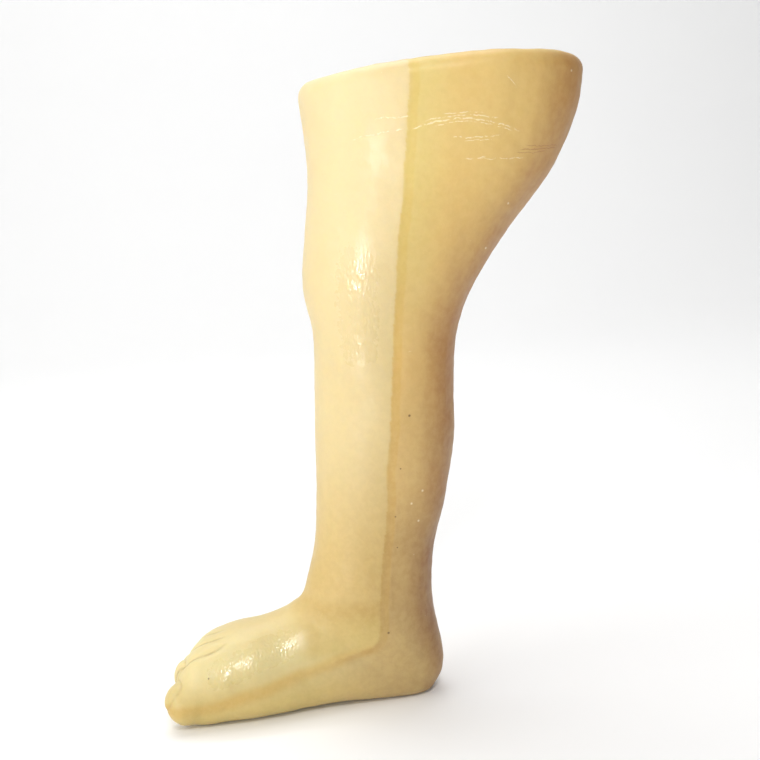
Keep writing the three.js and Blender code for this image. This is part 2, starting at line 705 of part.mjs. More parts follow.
const FINISH = {
  skin: finish(0xe3cc8e, 0.35),
  shell: finish(0xd8d2c4, 0.3),
  liner: finish(0xe9dcc6, 0.85),
  pad: finish(0xc9b79a, 0.9),
  steel: finish(0xb9bcc0, 0.3, 1),
  darkSteel: finish(0x4b4d52, 0.45, 1),
  aluminium: finish(0xc8cace, 0.4, 1),
  brass: finish(0xc9a24e, 0.35, 1),
  rubber: finish(0x2a2a2b, 0.8),
  wood: finish(0xc49a63, 0.6),
  foam: finish(0x8f877a, 0.9),
};

const leg = new THREE.Group();

function add(name, solid, look) {
  const mesh = new THREE.Mesh(geometryOf(solid), new THREE.MeshStandardMaterial(look));
  mesh.name = name;
  leg.add(mesh);
}

add('thigh_cover', thighCover(), FINISH.skin);
add('knee_cover', kneeCover(), FINISH.skin);
add('shin_cover', shinCover(), FINISH.skin);
add('sole_plug', solePlug(), FINISH.foam);

add('socket', socketShell(), FINISH.shell);
add('socket_liner', socketLiner(), FINISH.liner);
add('distal_end_pad', distalEndPad(), FINISH.pad);
add('socket_plate', socketPlate(), FINISH.aluminium);
screwPlaces().forEach((place, i) => add(`socket_screw_${i + 1}`, socketScrew(place), FINISH.darkSteel));
add('pyramid_adapter', pyramidSolid(KNEE.y, plateBottom() - GAP, -1), FINISH.steel);

add('knee_head', kneeHead(), FINISH.aluminium);
setScrewTurns().forEach((turn, i) => {
  const z = kneeHeadTop() - RECEIVER.screwDrop;
  add(`knee_set_screw_${i + 1}`, setScrew(turn, KNEE.y, z), FINISH.darkSteel);
});
add('knee_bush_left', kneeBush(-1), FINISH.brass);
add('knee_bush_right', kneeBush(1), FINISH.brass);
add('knee_axle', kneeAxle(), FINISH.steel);
add('axle_circlip_left', axleCirclip(-1), FINISH.darkSteel);
add('axle_circlip_right', axleCirclip(1), FINISH.darkSteel);
add('knee_yoke', kneeYoke(), FINISH.aluminium);
add('yoke_clamp_screw', clampScrew(YOKE_CLAMP.screw, YOKE_CLAMP.side), FINISH.darkSteel);
add('extension_bumper', extensionBumper(), FINISH.rubber);

add('pylon_tube', pylonTube(), FINISH.aluminium);
add('ankle_clamp', ankleClamp(), FINISH.aluminium);
add('ankle_clamp_screw', clampScrew(ANKLE_CLAMP.screw, ANKLE_CLAMP.side), FINISH.darkSteel);
setScrewTurns().forEach((turn, i) => {
  const z = ankleClampBottom() + RECEIVER.screwDrop;
  add(`ankle_set_screw_${i + 1}`, setScrew(turn, TUBE.y, z), FINISH.darkSteel);
});
add('foot_pyramid', pyramidSolid(TUBE.y, footPyramidBase(), 1, BOLT.radius + GAP), FINISH.steel);
add('foot_bolt', footBolt(), FINISH.darkSteel);
add('foot_washer', footWasher(), FINISH.steel);
add('foot_keel', footKeel(), FINISH.wood);
add('heel_wedge', heelWedge(), FINISH.foam);

export default leg;
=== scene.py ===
"""A child's right above-knee prosthetic leg under a one-piece moulded foam cover.

The toes point to -Y, the inner side of the leg is +X and the sole lies on z = 0. Outlines are in
millimetres and the meshes in metres.
"""
import math

import bmesh
import bpy
import numpy as np
from mathutils import Matrix, Vector


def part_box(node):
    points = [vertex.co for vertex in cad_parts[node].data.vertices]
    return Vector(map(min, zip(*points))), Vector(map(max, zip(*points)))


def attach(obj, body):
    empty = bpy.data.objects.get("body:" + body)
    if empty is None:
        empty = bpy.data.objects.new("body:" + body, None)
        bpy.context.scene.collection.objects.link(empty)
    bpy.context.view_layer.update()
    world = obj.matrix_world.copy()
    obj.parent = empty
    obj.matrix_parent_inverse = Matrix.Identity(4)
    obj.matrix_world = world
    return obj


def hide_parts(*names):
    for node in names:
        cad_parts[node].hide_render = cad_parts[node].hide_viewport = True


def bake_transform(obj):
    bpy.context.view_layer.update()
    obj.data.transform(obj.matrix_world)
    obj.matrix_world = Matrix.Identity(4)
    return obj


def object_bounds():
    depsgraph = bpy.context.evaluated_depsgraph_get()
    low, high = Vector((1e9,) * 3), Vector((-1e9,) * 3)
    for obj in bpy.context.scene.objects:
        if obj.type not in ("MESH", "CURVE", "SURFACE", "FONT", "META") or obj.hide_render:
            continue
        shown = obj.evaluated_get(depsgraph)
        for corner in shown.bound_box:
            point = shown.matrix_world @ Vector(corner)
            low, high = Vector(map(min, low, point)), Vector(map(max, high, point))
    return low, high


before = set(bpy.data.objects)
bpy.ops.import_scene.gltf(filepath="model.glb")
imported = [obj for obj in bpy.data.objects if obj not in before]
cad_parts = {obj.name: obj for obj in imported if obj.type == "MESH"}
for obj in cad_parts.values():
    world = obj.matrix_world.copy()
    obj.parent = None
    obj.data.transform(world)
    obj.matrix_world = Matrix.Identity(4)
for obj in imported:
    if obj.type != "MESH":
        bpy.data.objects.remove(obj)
cad_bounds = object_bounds()

MM = 0.001
GAP = 0.3                 # clearance between pieces that touch, as in the CAD
RING_POINTS = 132         # points round a section
RINGS_PER_SECTION = 10
SKIN_VOXEL = 1.22         # voxel size of the cover's remesh, in millimetres; as fine as keeps the cover under 200,000 triangles
RIM_RADIUS = 8.0          # rounding of the cover's rim
FRONT_SQUARENESS = 2.1    # 2 is an ellipse, more is squarer

# The cover's sections, near those of the CAD: front y, z; rear y, z; half width; x shift;
# squareness of the rear half; widening to the front; rise of the sides.
LEG_SECTIONS = [
    (-108, 20, -107, 9, 8, 14, 2.2, 0, 0),
    (-103.5, 30, -102, 1, 14.5, 10.5, 2.5, 0, 0),
    (-98, 37, -94, -1, 20.5, 6.5, 2.7, -0.05, 0),
    (-90, 41.5, -82, -1, 26, 1.5, 2.8, -0.1, 0),
    (-75, 45.8, -58, -1, 26.5, 0, 2.7, -0.1, 0),
    (-62, 47.2, -28, 0, 23.5, -1, 2.5, -0.1, 0),
    (-52, 50, 16.5, -0.9, 22.5, -2, 2.8, 0, 0),
    (-47, 52.6, 26.3, 4.6, 22, -1.5, 2.6, 0, 0),
    (-41, 57, 31, 18, 23, 0, 2.2, 0, 0),
    (-37, 68, 26.5, 50, 25.5, 0, 2.1, 0, 0),
    (-33, 84, 28.5, 78, 26.5, 0, 2.1, 0, 0),
    (-30.5, 108, 35.5, 104, 30, 0, 2.1, -0.03, 0),
    (-29.5, 135, 41, 133, 33, 0, 2.1, -0.05, 0),
    (-28, 165, 42.5, 163, 34, 0, 2.1, -0.03, 0),
    (-27.5, 192, 45.5, 190, 35, 0, 2.1, 0, 0),
    (-31, 215, 56, 214, 38.5, 0, 2.1, 0, 0),
    (-28.5, 240, 74.5, 240, 43, 0, 2.1, 0, 0),
    (-25.5, 265, 96, 267, 48, 0, 2.2, -0.05, 0),
    (-26, 287, 109, 293, 52, 0, 2.2, -0.05, 1.5),
    (-27.5, 307, 113.5, 313.5, 54, 0, 2.2, -0.05, 3.6),
]

# Toes from the big one out: root, tip, half width, height as a share of the width.
TOES = [
    ((18.5, -84, 20.5), (18, -104.5, 12.6), 10, 1.1),
    ((9, -84, 23), (8, -100.5, 18.5), 8, 1.7),
    ((-1, -82, 23), (-2, -97, 18), 7.5, 1.75),
    ((-12, -78, 21), (-13, -92, 16), 7, 1.75),
    ((-22, -73, 17), (-23.5, -85, 12.5), 6, 1.6),
]

# The socket's outer sections, as in the CAD, in the same order of values as LEG_SECTIONS.
SOCKET_SECTIONS = [
    (-13, 249, 50, 249, 29, 0, 2.2, 0, 0),
    (-16, 254, 66, 254, 35, 0, 2.2, 0, 0),
    (-17, 268, 86, 269, 40, 0, 2.2, 0, 0),
    (-18, 288, 100, 294, 44, 0, 2.2, 0, 0),
    (-19.5, 313, 105, 319.5, 46, 0, 2.2, 0, 5),
]
SOCKET_WALL = 3.0
SOCKET_FLOOR_WALL = 4.0
LINER_WALL = 4.0

# The line where the two halves of the mould met, as (y, z) seen from the side, toe to rim.
PARTING_LINE = [
    (-117, 12), (-104, 12.2), (-88.4, 13.6), (-76.3, 16.4), (-55.5, 20.8), (-34.6, 25.7),
    (-14, 31.2), (-8, 34.2), (-5.6, 40), (-4.2, 60.2), (-2.3, 78.2), (0.7, 105.7), (1.5, 125.7),
    (2.9, 137.3), (5.6, 163.9), (7.3, 190.1), (9.3, 214), (11.2, 235.9), (13.4, 254.9),
    (15.3, 273), (17.8, 300.4), (19.5, 325),
]

# Creases between the toes as (y, x) from the tip back, and the y where they start to fade and end.
TOE_CREASES = [
    [(-113, 10), (-106, 11.5), (-100, 14.5), (-94, 16), (-88, 16), (-82, 14.5)],
    [(-109, 3.5), (-101, 4.8), (-95.4, 7.2), (-88, 9), (-81.5, 9.6)],
    [(-104, -7), (-96, -3), (-89, 0.8), (-85, 2.8), (-79.6, 3.9)],
    [(-97, -17), (-91, -14), (-85, -10.5), (-79, -8)],
]
CREASE_FADE = (-89, -80)
CREASE_DEPTH = 0.65


# ---------------------------------------------------------------- shapes from outlines


def smooth_rows(rows, steps):
    """Catmull-Rom rows in between the given ones, running through every given row."""
    rows = np.array(rows, float)
    full = np.vstack([2 * rows[0] - rows[1], rows, 2 * rows[-1] - rows[-2]])
    made = []
    for i in range(1, len(rows)):
        before, here, there, after = full[i - 1:i + 3]
        for t in np.arange(steps) / steps:
            made.append(0.5 * (
                2 * here + (there - before) * t
                + (2 * before - 5 * here + 4 * there - after) * t**2
                + (3 * here - before - 3 * there + after) * t**3
            ))
    return np.array(made + [rows[-1]])


def section_ring(row, points=RING_POINTS):
    """The points round one section, from its front towards +X."""
    front_y, front_z, rear_y, rear_z, half, shift, flat, egg, crown = row
    angle = np.arange(points) * 2 * math.pi / points
    along, across = np.cos(angle), np.sin(angle)
    power = 2 / np.where(along >= 0, FRONT_SQUARENESS, flat)
    u = np.sign(along) * np.abs(along)**power
    v = np.sign(across) * np.abs(across)**power
    return np.column_stack([
        shift + half * v * (1 + egg * u),
        (front_y + rear_y) / 2 + u * (front_y - rear_y) / 2,
        (front_z + rear_z) / 2 + u * (front_z - rear_z) / 2 + crown * across**2,
    ])


def moved_ring(ring, rise, inset):
    """A ring carried up by rise and in by inset."""
    inward = ring[:, :2].mean(axis=0) - ring[:, :2]
    inward *= inset / np.linalg.norm(inward, axis=1)[:, None]
    return ring + np.column_stack([inward, np.full(len(ring), rise)])


def lofted(rings):
    """Vertices and faces of a closed body through rings that are listed upwards."""
    size, count = len(rings[0]), len(rings)
    points = np.vstack([*rings, rings[0].mean(axis=0), rings[-1].mean(axis=0)])
    low, high = count * size, count * size + 1
    faces = []
    for r in range(count - 1):
        for i in range(size):
            a, b = r * size + i, r * size + (i + 1) % size
            faces.append((a, b, b + size, a + size))
    top = (count - 1) * size
    for i in range(size):
        after = (i + 1) % size
        faces.append((low, after, i))
        faces.append((high, top + i, top + after))
    return points, faces


def leg_rings():
    """The leg's sections, closed at the top by a rounded rim."""
    rings = [section_ring(row) for row in smooth_rows(LEG_SECTIONS, RINGS_PER_SECTION)]
    shoulder = rings[-1]
    for degrees in range(9, 91, 9):
        turn = math.radians(degrees)
        rings.append(moved_ring(
            shoulder, RIM_RADIUS * math.sin(turn), RIM_RADIUS * (1 - math.cos(turn))))
    return rings


def socket_rings(inset, lift, points=RING_POINTS):
    """The socket with its walls moved in by inset and its floor raised by lift."""
    last = len(SOCKET_SECTIONS) - 1
    rows = np.array(SOCKET_SECTIONS, float)
    share = lift * (1 - np.arange(last + 1) / last)
    rows[:, 0] += inset
    rows[:, 1] += share
    rows[:, 2] -= inset
    rows[:, 3] += share
    rows[:, 4] -= inset
    return [section_ring(row, points) for row in smooth_rows(rows, RINGS_PER_SECTION)]


def toe_body(root, tip, half, tall, steps=14, around=40):
    """A round-ended toe with a slight neck behind its pad."""
    root, tip = np.array(root, float), np.array(tip, float)
    along = tip - root
    length = np.linalg.norm(along)
    along /= length
    side = np.array([1.0, 0, 0]) - along * along[0]
    side /= np.linalg.norm(side)
    up = np.cross(side, along)
    stations = []
    for t in np.linspace(-1, 0, steps)[1:]:
        stations.append((half * t, math.sqrt(1 - t * t)))
    for t in np.linspace(0, 1, steps)[1:-1]:
        stations.append((length * t, 1 - 0.05 * math.sin(math.pi * t)))
    for t in np.linspace(0, 1, steps)[:-1]:
        stations.append((length + half * t, math.sqrt(1 - t * t)))
    angle = np.arange(around) * 2 * math.pi / around
    rings = []
    for reach, width in stations:
        centre = root + along * reach
        rings.append(
            centre + np.outer(np.cos(angle) * half * width, side)
            + np.outer(np.sin(angle) * half * tall * width, up))
    return lofted(rings)


def piece_from(name, points, faces):
    mesh = bpy.data.meshes.new(name)
    mesh.from_pydata((np.asarray(points) * MM).tolist(), [], [tuple(f) for f in faces])
    mesh.validate()
    made = bpy.data.objects.new(name, mesh)
    bpy.context.scene.collection.objects.link(made)
    outwards(mesh)
    return made


def outwards(mesh):
    """Turns every face so that a closed mesh has a positive volume."""
    mesh.calc_loop_triangles()
    corners = np.zeros(len(mesh.loop_triangles) * 3, np.int32)
    mesh.loop_triangles.foreach_get("vertices", corners)
    a, b, c = coordinates(mesh)[corners].reshape(-1, 3, 3).transpose(1, 0, 2)
    if np.einsum("ij,ij->i", a, np.cross(b, c)).sum() < 0:
        mesh.flip_normals()


def coordinates(mesh):
    flat = np.zeros(len(mesh.vertices) * 3)
    mesh.vertices.foreach_get("co", flat)
    return flat.reshape(-1, 3)


def place(mesh, points):
    mesh.vertices.foreach_set("co", np.asarray(points, np.float32).ravel())
    mesh.update()


def normals(mesh):
    flat = np.zeros(len(mesh.vertices) * 3)
    mesh.vertex_normals.foreach_get("vector", flat)
    return flat.reshape(-1, 3)


def edge_pairs(mesh):
    flat = np.zeros(len(mesh.edges) * 2, np.int32)
    mesh.edges.foreach_get("vertices", flat)
    return flat.reshape(-1, 2)


def shade_smooth(mesh):
    mesh.polygons.foreach_set("use_smooth", np.ones(len(mesh.polygons), bool))
    mesh.update()


def apply_modifiers(piece):
    """Keeps what the modifiers make and takes them off."""
    graph = bpy.context.evaluated_depsgraph_get()
    made = bpy.data.meshes.new_from_object(piece.evaluated_get(graph))
    piece.modifiers.clear()
    piece.data = made


def remesh(piece, size):
    change = piece.modifiers.new("even", "REMESH")
    change.mode = "VOXEL"
    change.voxel_size = size * MM
    apply_modifiers(piece)


def carve(piece, cutter):
    """Cuts the cutter out of the piece, and removes the cutter."""
    change = piece.modifiers.new("room", "BOOLEAN")
    change.operation = "DIFFERENCE"
    change.solver = "MANIFOLD"
    change.object = cutter
    apply_modifiers(piece)
    bpy.data.objects.remove(cutter)


def joined(name, pieces):
    """One mesh that holds all of these, which are removed."""
    points, faces, start = [], [], 0
    for piece in pieces:
        points.append(coordinates(piece.data))
        faces += [tuple(start + v for v in p.vertices) for p in piece.data.polygons]
        start += len(piece.data.vertices)
        bpy.data.objects.remove(piece)
    return piece_from(name, np.vstack(points) / MM, faces)


def relaxed(points, pairs, rounds, share):
    """Moves each point by share of the way to the middle of its neighbours, round after round."""
    count = len(points)
    a, b = pairs.T
    near = np.bincount(a, minlength=count) + np.bincount(b, minlength=count)
    near = np.maximum(near, 1)[:, None]
    for _ in range(rounds):
        total = np.column_stack([
            np.bincount(a, points[b, axis], count) + np.bincount(b, points[a, axis], count)
            for axis in range(3)
        ])
        points = points + share * (total / near - points)
    return points


def node_points(*names):
    """Every vertex of these CAD nodes, in millimetres."""
    return np.vstack([coordinates(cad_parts[name].data) for name in names]) / MM


def hull_around(name, points, clearance, stretch=(0, 0)):
    """A closed hull round points, moved out by clearance and longer by stretch down and up."""
    low, high = points[:, 2].min(), points[:, 2].max()
    lower = points[points[:, 2] < low + 1] - [0, 0, stretch[0]]
    upper = points[points[:, 2] > high - 1] + [0, 0, stretch[1]]
    grown = []
    for cloud in (points, lower, upper):
        for turn in np.arange(8) * math.pi / 4:
            grown.append(cloud + clearance * np.array([math.cos(turn), math.sin(turn), 0]))
    grown.append(points + [0, 0, clearance])
    grown.append(points - [0, 0, clearance])
    mesh = bmesh.new()
    for p in np.vstack(grown) * MM:
        mesh.verts.new(p)
    bmesh.ops.convex_hull(mesh, input=mesh.verts)
    loose = [v for v in mesh.verts if not v.link_faces]
    bmesh.ops.delete(mesh, geom=loose, context="VERTS")
    data = bpy.data.meshes.new(name)
    mesh.to_mesh(data)
    mesh.free()
    piece = bpy.data.objects.new(name, data)
    bpy.context.scene.collection.objects.link(piece)
    outwards(data)
    return piece


# ---------------------------------------------------------------- the cover's surface


def bell(value, width):
    """1 at zero, falling away over the width on either side."""
    return np.exp(-(value / width)**2)


def step(low, high, value):
    """A smooth step from 0 at low to 1 at high."""
    t = np.clip((value - low) / (high - low), 0, 1)
    return t * t * (3 - 2 * t)


def distance_to_line(points, line):
    """Signed distance in the side view to the parting line: above zero in front of it."""
    path = smooth_rows(line, 14)
    middle = (path[1:] + path[:-1]) / 2
    along = path[1:] - path[:-1]
    along /= np.linalg.norm(along, axis=1)[:, None]
    signed = np.empty(len(points))
    for start in range(0, len(points), 4000):
        part = points[start:start + 4000]
        away = part[:, None, :] - middle[None, :, :]
        nearest = np.argmin((away**2).sum(axis=2), axis=1)
        rows = np.arange(len(part))
        offset, way = away[rows, nearest], along[nearest]
        cross = way[:, 0] * offset[:, 1] - way[:, 1] * offset[:, 0]
        signed[start:start + 4000] = np.sign(cross) * np.linalg.norm(offset, axis=1)
    return signed


def seam_height(seam, y, z):
    """The step and flash that the mould left, in millimetres."""
    on_leg = step(30, 42, z) * step(-30, -10, y)
    lip = 0.2 * step(-1.2, 1.2, seam) * np.exp(-np.maximum(seam, 0) / 5)
    trough = -0.1 * bell(seam + 2.4, 1.8)
    flash = 0.2 * bell(seam + 4.6, 0.9) * step(40, 52, z) * (1 - step(104, 122, z))
    ridge = 0.16 * bell(seam - 0.4, 2.2) - 0.1 * bell(seam + 3.4, 2.0)
    return on_leg * (lip + trough + flash) + (1 - on_leg) * ridge


def crease_offsets(points):
    """How far each point lies to the inner side of each crease between two toes."""
    offsets = []
    for crease in TOE_CREASES:
        along, across = smooth_rows(crease, 8).T
        offsets.append(points[:, 0] - np.interp(points[:, 1], along, across))
    return np.column_stack(offsets)


def toe_crease(points):
    """From 0 to 1, how deep in a crease between two toes a point lies."""
    deep = bell(crease_offsets(points), 1.3).max(axis=1)
    return deep * (1 - step(*CREASE_FADE, points[:, 1])) * step(7, 14, points[:, 2])


def nail_reach(points, facing):
    """How far from the middle of the nearest nail, where 1 is the nail's edge."""
    nearest = np.full(len(points), 4.0)
    for root, tip, half, tall in TOES:
        great = half > 9
        lean, rise, length = (0.62, 0.5, 0.72) if great else (0.72, 0.55, 0.8)
        seat = np.array(tip) + [0, -half * lean, half * tall * rise]
        away = points - seat
        across = away[:, 0] / (half * 0.62)
        along = np.hypot(away[:, 1], away[:, 2]) / (half * length)
        far = (np.abs(across)**2.6 + np.abs(along)**2.6)**(1 / 2.6)
        front = (facing[:, 1] < 0.2) & (facing[:, 2] > -0.3)
        nearest = np.where(front, np.minimum(nearest, far), nearest)
    return nearest


def nail_height(far):
    """A shallow plate with a fold round it."""
    return 0.25 * (1 - step(0.86, 1.0, far)) - 0.26 * bell(far - 1.08, 0.13)


def ripple(points, seed, size, count=10):
    """A smooth uneven field of about unit height with features of the given size."""
    draw = np.random.default_rng(seed)
    total = np.zeros(len(points))
    for _ in range(count):
        way = draw.normal(size=3)
        way /= np.linalg.norm(way)
        pitch = size * draw.uniform(0.7, 1.5)
        total += np.sin(points @ way * 2 * math.pi / pitch + draw.uniform(0, 2 * math.pi))
    return total / math.sqrt(count / 2)


def seam_distance(points):
    """Distance to the parting line, which lies a little further back on the outer side."""
    x, y, z = points.T
    return distance_to_line(np.column_stack([y - np.where(x < 0, 1.2, 0.0), z]), PARTING_LINE)


def leg_cover():
    """The moulded cover: one skin from the rim to the toes, hollow where the works are."""
    form = piece_from("form", *lofted(leg_rings()))
    toes = [piece_from("toe", *toe_body(*toe)) for toe in TOES]
    cover = joined("leg_cover", [form, *toes])
    remesh(cover, SKIN_VOXEL)
    mesh = cover.data
    points = relaxed(coordinates(mesh), edge_pairs(mesh), 7, 0.6)
    place(mesh, points)
    facing = normals(mesh)
    points = points / MM
    height = seam_height(seam_distance(points), points[:, 1], points[:, 2])
    height -= CREASE_DEPTH * toe_crease(points)
    height += nail_height(nail_reach(points, facing))
    height += 0.1 * ripple(points, 3, 26) + 0.045 * ripple(points, 5, 9)
    points = points + facing * height[:, None]
    points[:, 2] = np.maximum(points[:, 2], 0)
    low, high = np.array(cad_bounds) / MM
    points = np.clip(points, low - 0.5, high + 0.2)
    place(mesh, points * MM)
    for cutter in cover_rooms():
        carve(cover, cutter)
    shade_smooth(cover.data)
    note_surface(cover.data)
    return cover


def cover_rooms():
    """The rooms for the socket, the knee, the tube, the ankle and the core of the foot."""
    room = socket_rings(-GAP, 0)
    above = [moved_ring(room[-1], rise, 0) for rise in (6, 14)]
    yield piece_from("socket_room", *lofted([moved_ring(room[0], -14, 0), *room, *above]))
    knee = node_points("knee_head", "knee_yoke", "knee_axle", "pyramid_adapter", "socket_plate")
    yield hull_around("knee_room", knee, 1.0)
    yield hull_around("tube_room", node_points("pylon_tube"), 2.5)
    yield hull_around("ankle_room", node_points("ankle_clamp", "foot_pyramid"), 1.5)
    keel = node_points("foot_keel")
    heel = keel[keel[:, 1] > -45]
    toe = keel[(keel[:, 1] < -35) & (keel[:, 2] < 31)]
    yield hull_around("heel_room", heel, 0.4)
    yield hull_around("toe_room", toe, 0.4)
    yield hull_around("wedge_room", node_points("heel_wedge"), 0.4)
    yield hull_around("plug_room", node_points("sole_plug"), 0.5, (3, 4))


def store(mesh, name, values):
    """Keeps numbers or vectors, one for each vertex, under a name that a material can read."""
    kind = "FLOAT" if values.ndim == 1 else "FLOAT_VECTOR"
    field = "value" if values.ndim == 1 else "vector"
    attribute = mesh.attributes.new(name, kind, "POINT")
    attribute.data.foreach_set(field, values.astype(np.float32).ravel())


def note_surface(mesh):
    """Keeps what the material needs to know at rest: the place, its tilt, which sets painted shade
    on the back, seam, creases, nails.
    """
    points = coordinates(mesh) / MM
    facing = normals(mesh)
    creases = crease_offsets(points)
    store(mesh, "rest", points)
    store(mesh, "rearward", facing[:, 1])
    store(mesh, "seam", seam_distance(points))
    store(mesh, "creases", creases[:, :3])
    store(mesh, "last_crease", creases[:, 3])
    store(mesh, "nail", nail_reach(points, facing))


# ---------------------------------------------------------------- materials


class Shader:
    """A material with one Principled node, and short ways to add and join nodes."""

    def __init__(self, name, **constants):
        self.material = bpy.data.materials.new(name)
        self.material.use_nodes = True
        self.tree = self.material.node_tree
        self.base = self.tree.nodes["Principled BSDF"]
        for socket, value in constants.items():
            self.base.inputs[socket.replace("_", " ")].default_value = value

    def node(self, kind, inputs=(), **settings):
        made = self.tree.nodes.new(kind)
        for key, value in settings.items():
            setattr(made, key, value)
        for key, value in dict(inputs).items():
            if isinstance(value, bpy.types.NodeSocket):
                self.tree.links.new(value, made.inputs[key])
            else:
                made.inputs[key].default_value = value
        return made

    def join(self, value, socket):
        self.tree.links.new(value, self.base.inputs[socket])

    def maths(self, operation, a, b=0.0, c=0.0):
        return self.node(
            "ShaderNodeMath", {0: a, 1: b, 2: c}, operation=operation).outputs[0]

    def ramp(self, value, low, high, to_low=0.0, to_high=1.0):
        made = self.node("ShaderNodeMapRange", {
            "Value": value, "From Min": low, "From Max": high, "To Min": to_low, "To Max": to_high,
        }, interpolation_type="SMOOTHSTEP")
        return made.outputs["Result"]

    def mix(self, share, a, b, blend="MIX"):
        made = self.node("ShaderNodeMix", data_type="RGBA", blend_type=blend)
        for socket, value in ((0, share), (6, a), (7, b)):
            if isinstance(value, bpy.types.NodeSocket):
                self.tree.links.new(value, made.inputs[socket])
            else:
                made.inputs[socket].default_value = value
        return made.outputs[2]

    def noise(self, where, scale, detail=2.0, rough=0.5, distortion=0.0):
        made = self.node("ShaderNodeTexNoise", {
            "Vector": where, "Scale": scale, "Detail": detail, "Roughness": rough,
            "Distortion": distortion,
        })
        return made.outputs["Fac"]

    def stretched(self, where, scale):
        made = self.node("ShaderNodeVectorMath", {0: where, 1: scale}, operation="MULTIPLY")
        return made.outputs[0]

    def times(self, first, *others):
        """The product of all these values."""
        for other in others:
            first = self.maths("MULTIPLY", first, other)
        return first

    def tinted(self, share, colour, tint):
        """The colour, multiplied by the tint as far as share says."""
        return self.mix(share, colour, self.mix(1.0, colour, (*tint, 1), "MULTIPLY"))

    def axes(self, where):
        parts = self.node("ShaderNodeSeparateXYZ", {0: where})
        return [parts.outputs[i] for i in range(3)]

    def bump(self, height, strength, distance, under=None):
        inputs = {"Height": height, "Strength": strength, "Distance": distance}
        if under is not None:
            inputs["Normal"] = under
        return self.node("ShaderNodeBump", inputs).outputs["Normal"]

    def attribute(self, name, output="Fac"):
        return self.node("ShaderNodeAttribute", attribute_name=name).outputs[output]

    def place(self):
        return self.node("ShaderNodeTexCoord").outputs["Object"]

    def millimetres(self):
        return self.stretched(self.place(), (1000.0, 1000.0, 1000.0))


def rgb(red, green, blue):
    """Linear colour from the 0 to 255 values of a screen colour."""
    return tuple(((c / 255 + 0.055) / 1.055)**2.4 if c > 10 else c / 3295
                 for c in (red, green, blue)) + (1.0,)


def spots(s, y, z, side, places, radius):
    """From 0 to 1 near any of these (y, z) places on the inner side."""
    total = None
    for spot_y, spot_z in places:
        across = s.maths("SUBTRACT", y, spot_y)
        up = s.maths("SUBTRACT", z, spot_z)
        away = s.maths("SQRT", s.maths("ADD", s.times(across, across), s.times(up, up)))
        near = s.ramp(away, radius, radius * 0.35)
        total = near if total is None else s.maths("MAXIMUM", total, near)
    return s.times(total, side)


def window(s, value, low, high, soft):
    """1 between low and high, fading to 0 over soft on either side."""
    return s.times(s.ramp(value, low - soft, low), s.ramp(value, high + soft, high))


def patch(s, up, along, zone):
    """1 inside a zone of heights and depths, fading out round it."""
    return s.times(window(s, up, *zone[0]), window(s, along, *zone[1]))


# Fine lines on the inner side: from y, to y, crest y, crest z, bend, half width.
SCUFFS = [
    (21, 68, 40, 291.6, -0.0075, 0.32),
    (27, 57, 42, 293.1, -0.006, 0.24),
    (31, 64, 40, 290.2, -0.0075, 0.2),
    (35, 50, 42, 294.4, -0.004, 0.18),
    (5, 17, 12, 293.8, -0.002, 0.26),
    (-5, 13, 18, 288.1, -0.005, 0.28),
    (39, 58, 50, 283.1, 0.003, 0.24),
    (44, 55, 50, 281.6, 0.003, 0.16),
    (45, 51, 48, 273.5, 0.0, 0.3),
    (52, 71, 52, 272.8, 0.0, 0.16),
    (63, 66, 60, 310.4, -0.09, 0.24),
]
RED_LINES = [
    (72, 90, 80, 276.4, 0.004, 0.2),
    (75, 91, 82, 277.9, 0.003, 0.16),
    (70, 84, 78, 275.0, 0.003, 0.16),
]

# Small marks on the inner side, as (y, z), and their radius.
DEEP_PITS = [(13.7, 152.5), (-0.8, 40.4)], 0.85
FINE_PITS = [(8.2, 126.4), (4.9, 101.8), (5.5, 85.2), (-92, 27.2)], 0.55
NICKS = [
    (98.9, 312.1), (13.3, 107.6), (19.2, 113.5), (16.9, 97.7), (66.2, 251.7), (56.2, 230.7)], 0.8

# Zones as low, high and fade: first in height, then in y. The instep's height is measured from
# its ridge, which climbs by INSTEP_SLOPE to INSTEP_HEIGHT at y = 0.
KNEE_SHINE = (192, 222, 32), (-11, -6, 16)
THIGH_SHINE = (274, 280, 12), (-2, 5, 9)
INSTEP_SHINE = (-3, 1, 11), (-86, -54, 18)
INSTEP_SLOPE, INSTEP_HEIGHT = 0.27, 52.5
ANKLE_WRINKLES = (50, 62, 5), (-36, -20, 5)


def fine_lines(s, y, z, side, wobble, lines):
    """From 0 to 1 on any of these thin arcs."""
    total = None
    for start, stop, crest_y, crest_z, bend, half in lines:
        off = s.maths("SUBTRACT", y, crest_y)
        arc = s.maths("MULTIPLY_ADD", s.times(off, off), bend, crest_z)
        away = s.maths("ABSOLUTE", s.maths("ADD", s.maths("SUBTRACT", z, arc), wobble))
        line = s.times(s.ramp(away, half * 1.6, half * 0.4), window(s, y, start, stop, 2.5))
        total = line if total is None else s.maths("MAXIMUM", total, line)
    return s.times(total, side)


def by_height(s, z, stops):
    """Blends colours up the leg; each stop is a height and a linear colour."""
    low, colour = stops[0]
    for high, above in stops[1:]:
        colour = s.mix(s.ramp(z, low, high), colour, above)
        low = high
    return colour


# Linear colours up the leg, each with its height; the pale front stop at 31 mm is painted light on
# the top of the foot.
FRONT_TONES_AND_LIT_FOOT_TOP = [
    (12, (0.60, 0.475, 0.18, 1)), (31, (0.70, 0.61, 0.32, 1)), (66, (0.55, 0.39, 0.14, 1)),
    (160, (0.67, 0.54, 0.28, 1)), (285, (0.73, 0.595, 0.325, 1)),
]
REAR_TONES = [
    (28, (0.425, 0.29, 0.11, 1)), (75, (0.415, 0.263, 0.09, 1)), (125, (0.52, 0.343, 0.123, 1)),
    (190, (0.605, 0.40, 0.138, 1)), (245, (0.63, 0.42, 0.135, 1)), (285, (0.665, 0.46, 0.155, 1)),
]
CLOUD_TONE = (0.64, 0.47, 0.19, 1)
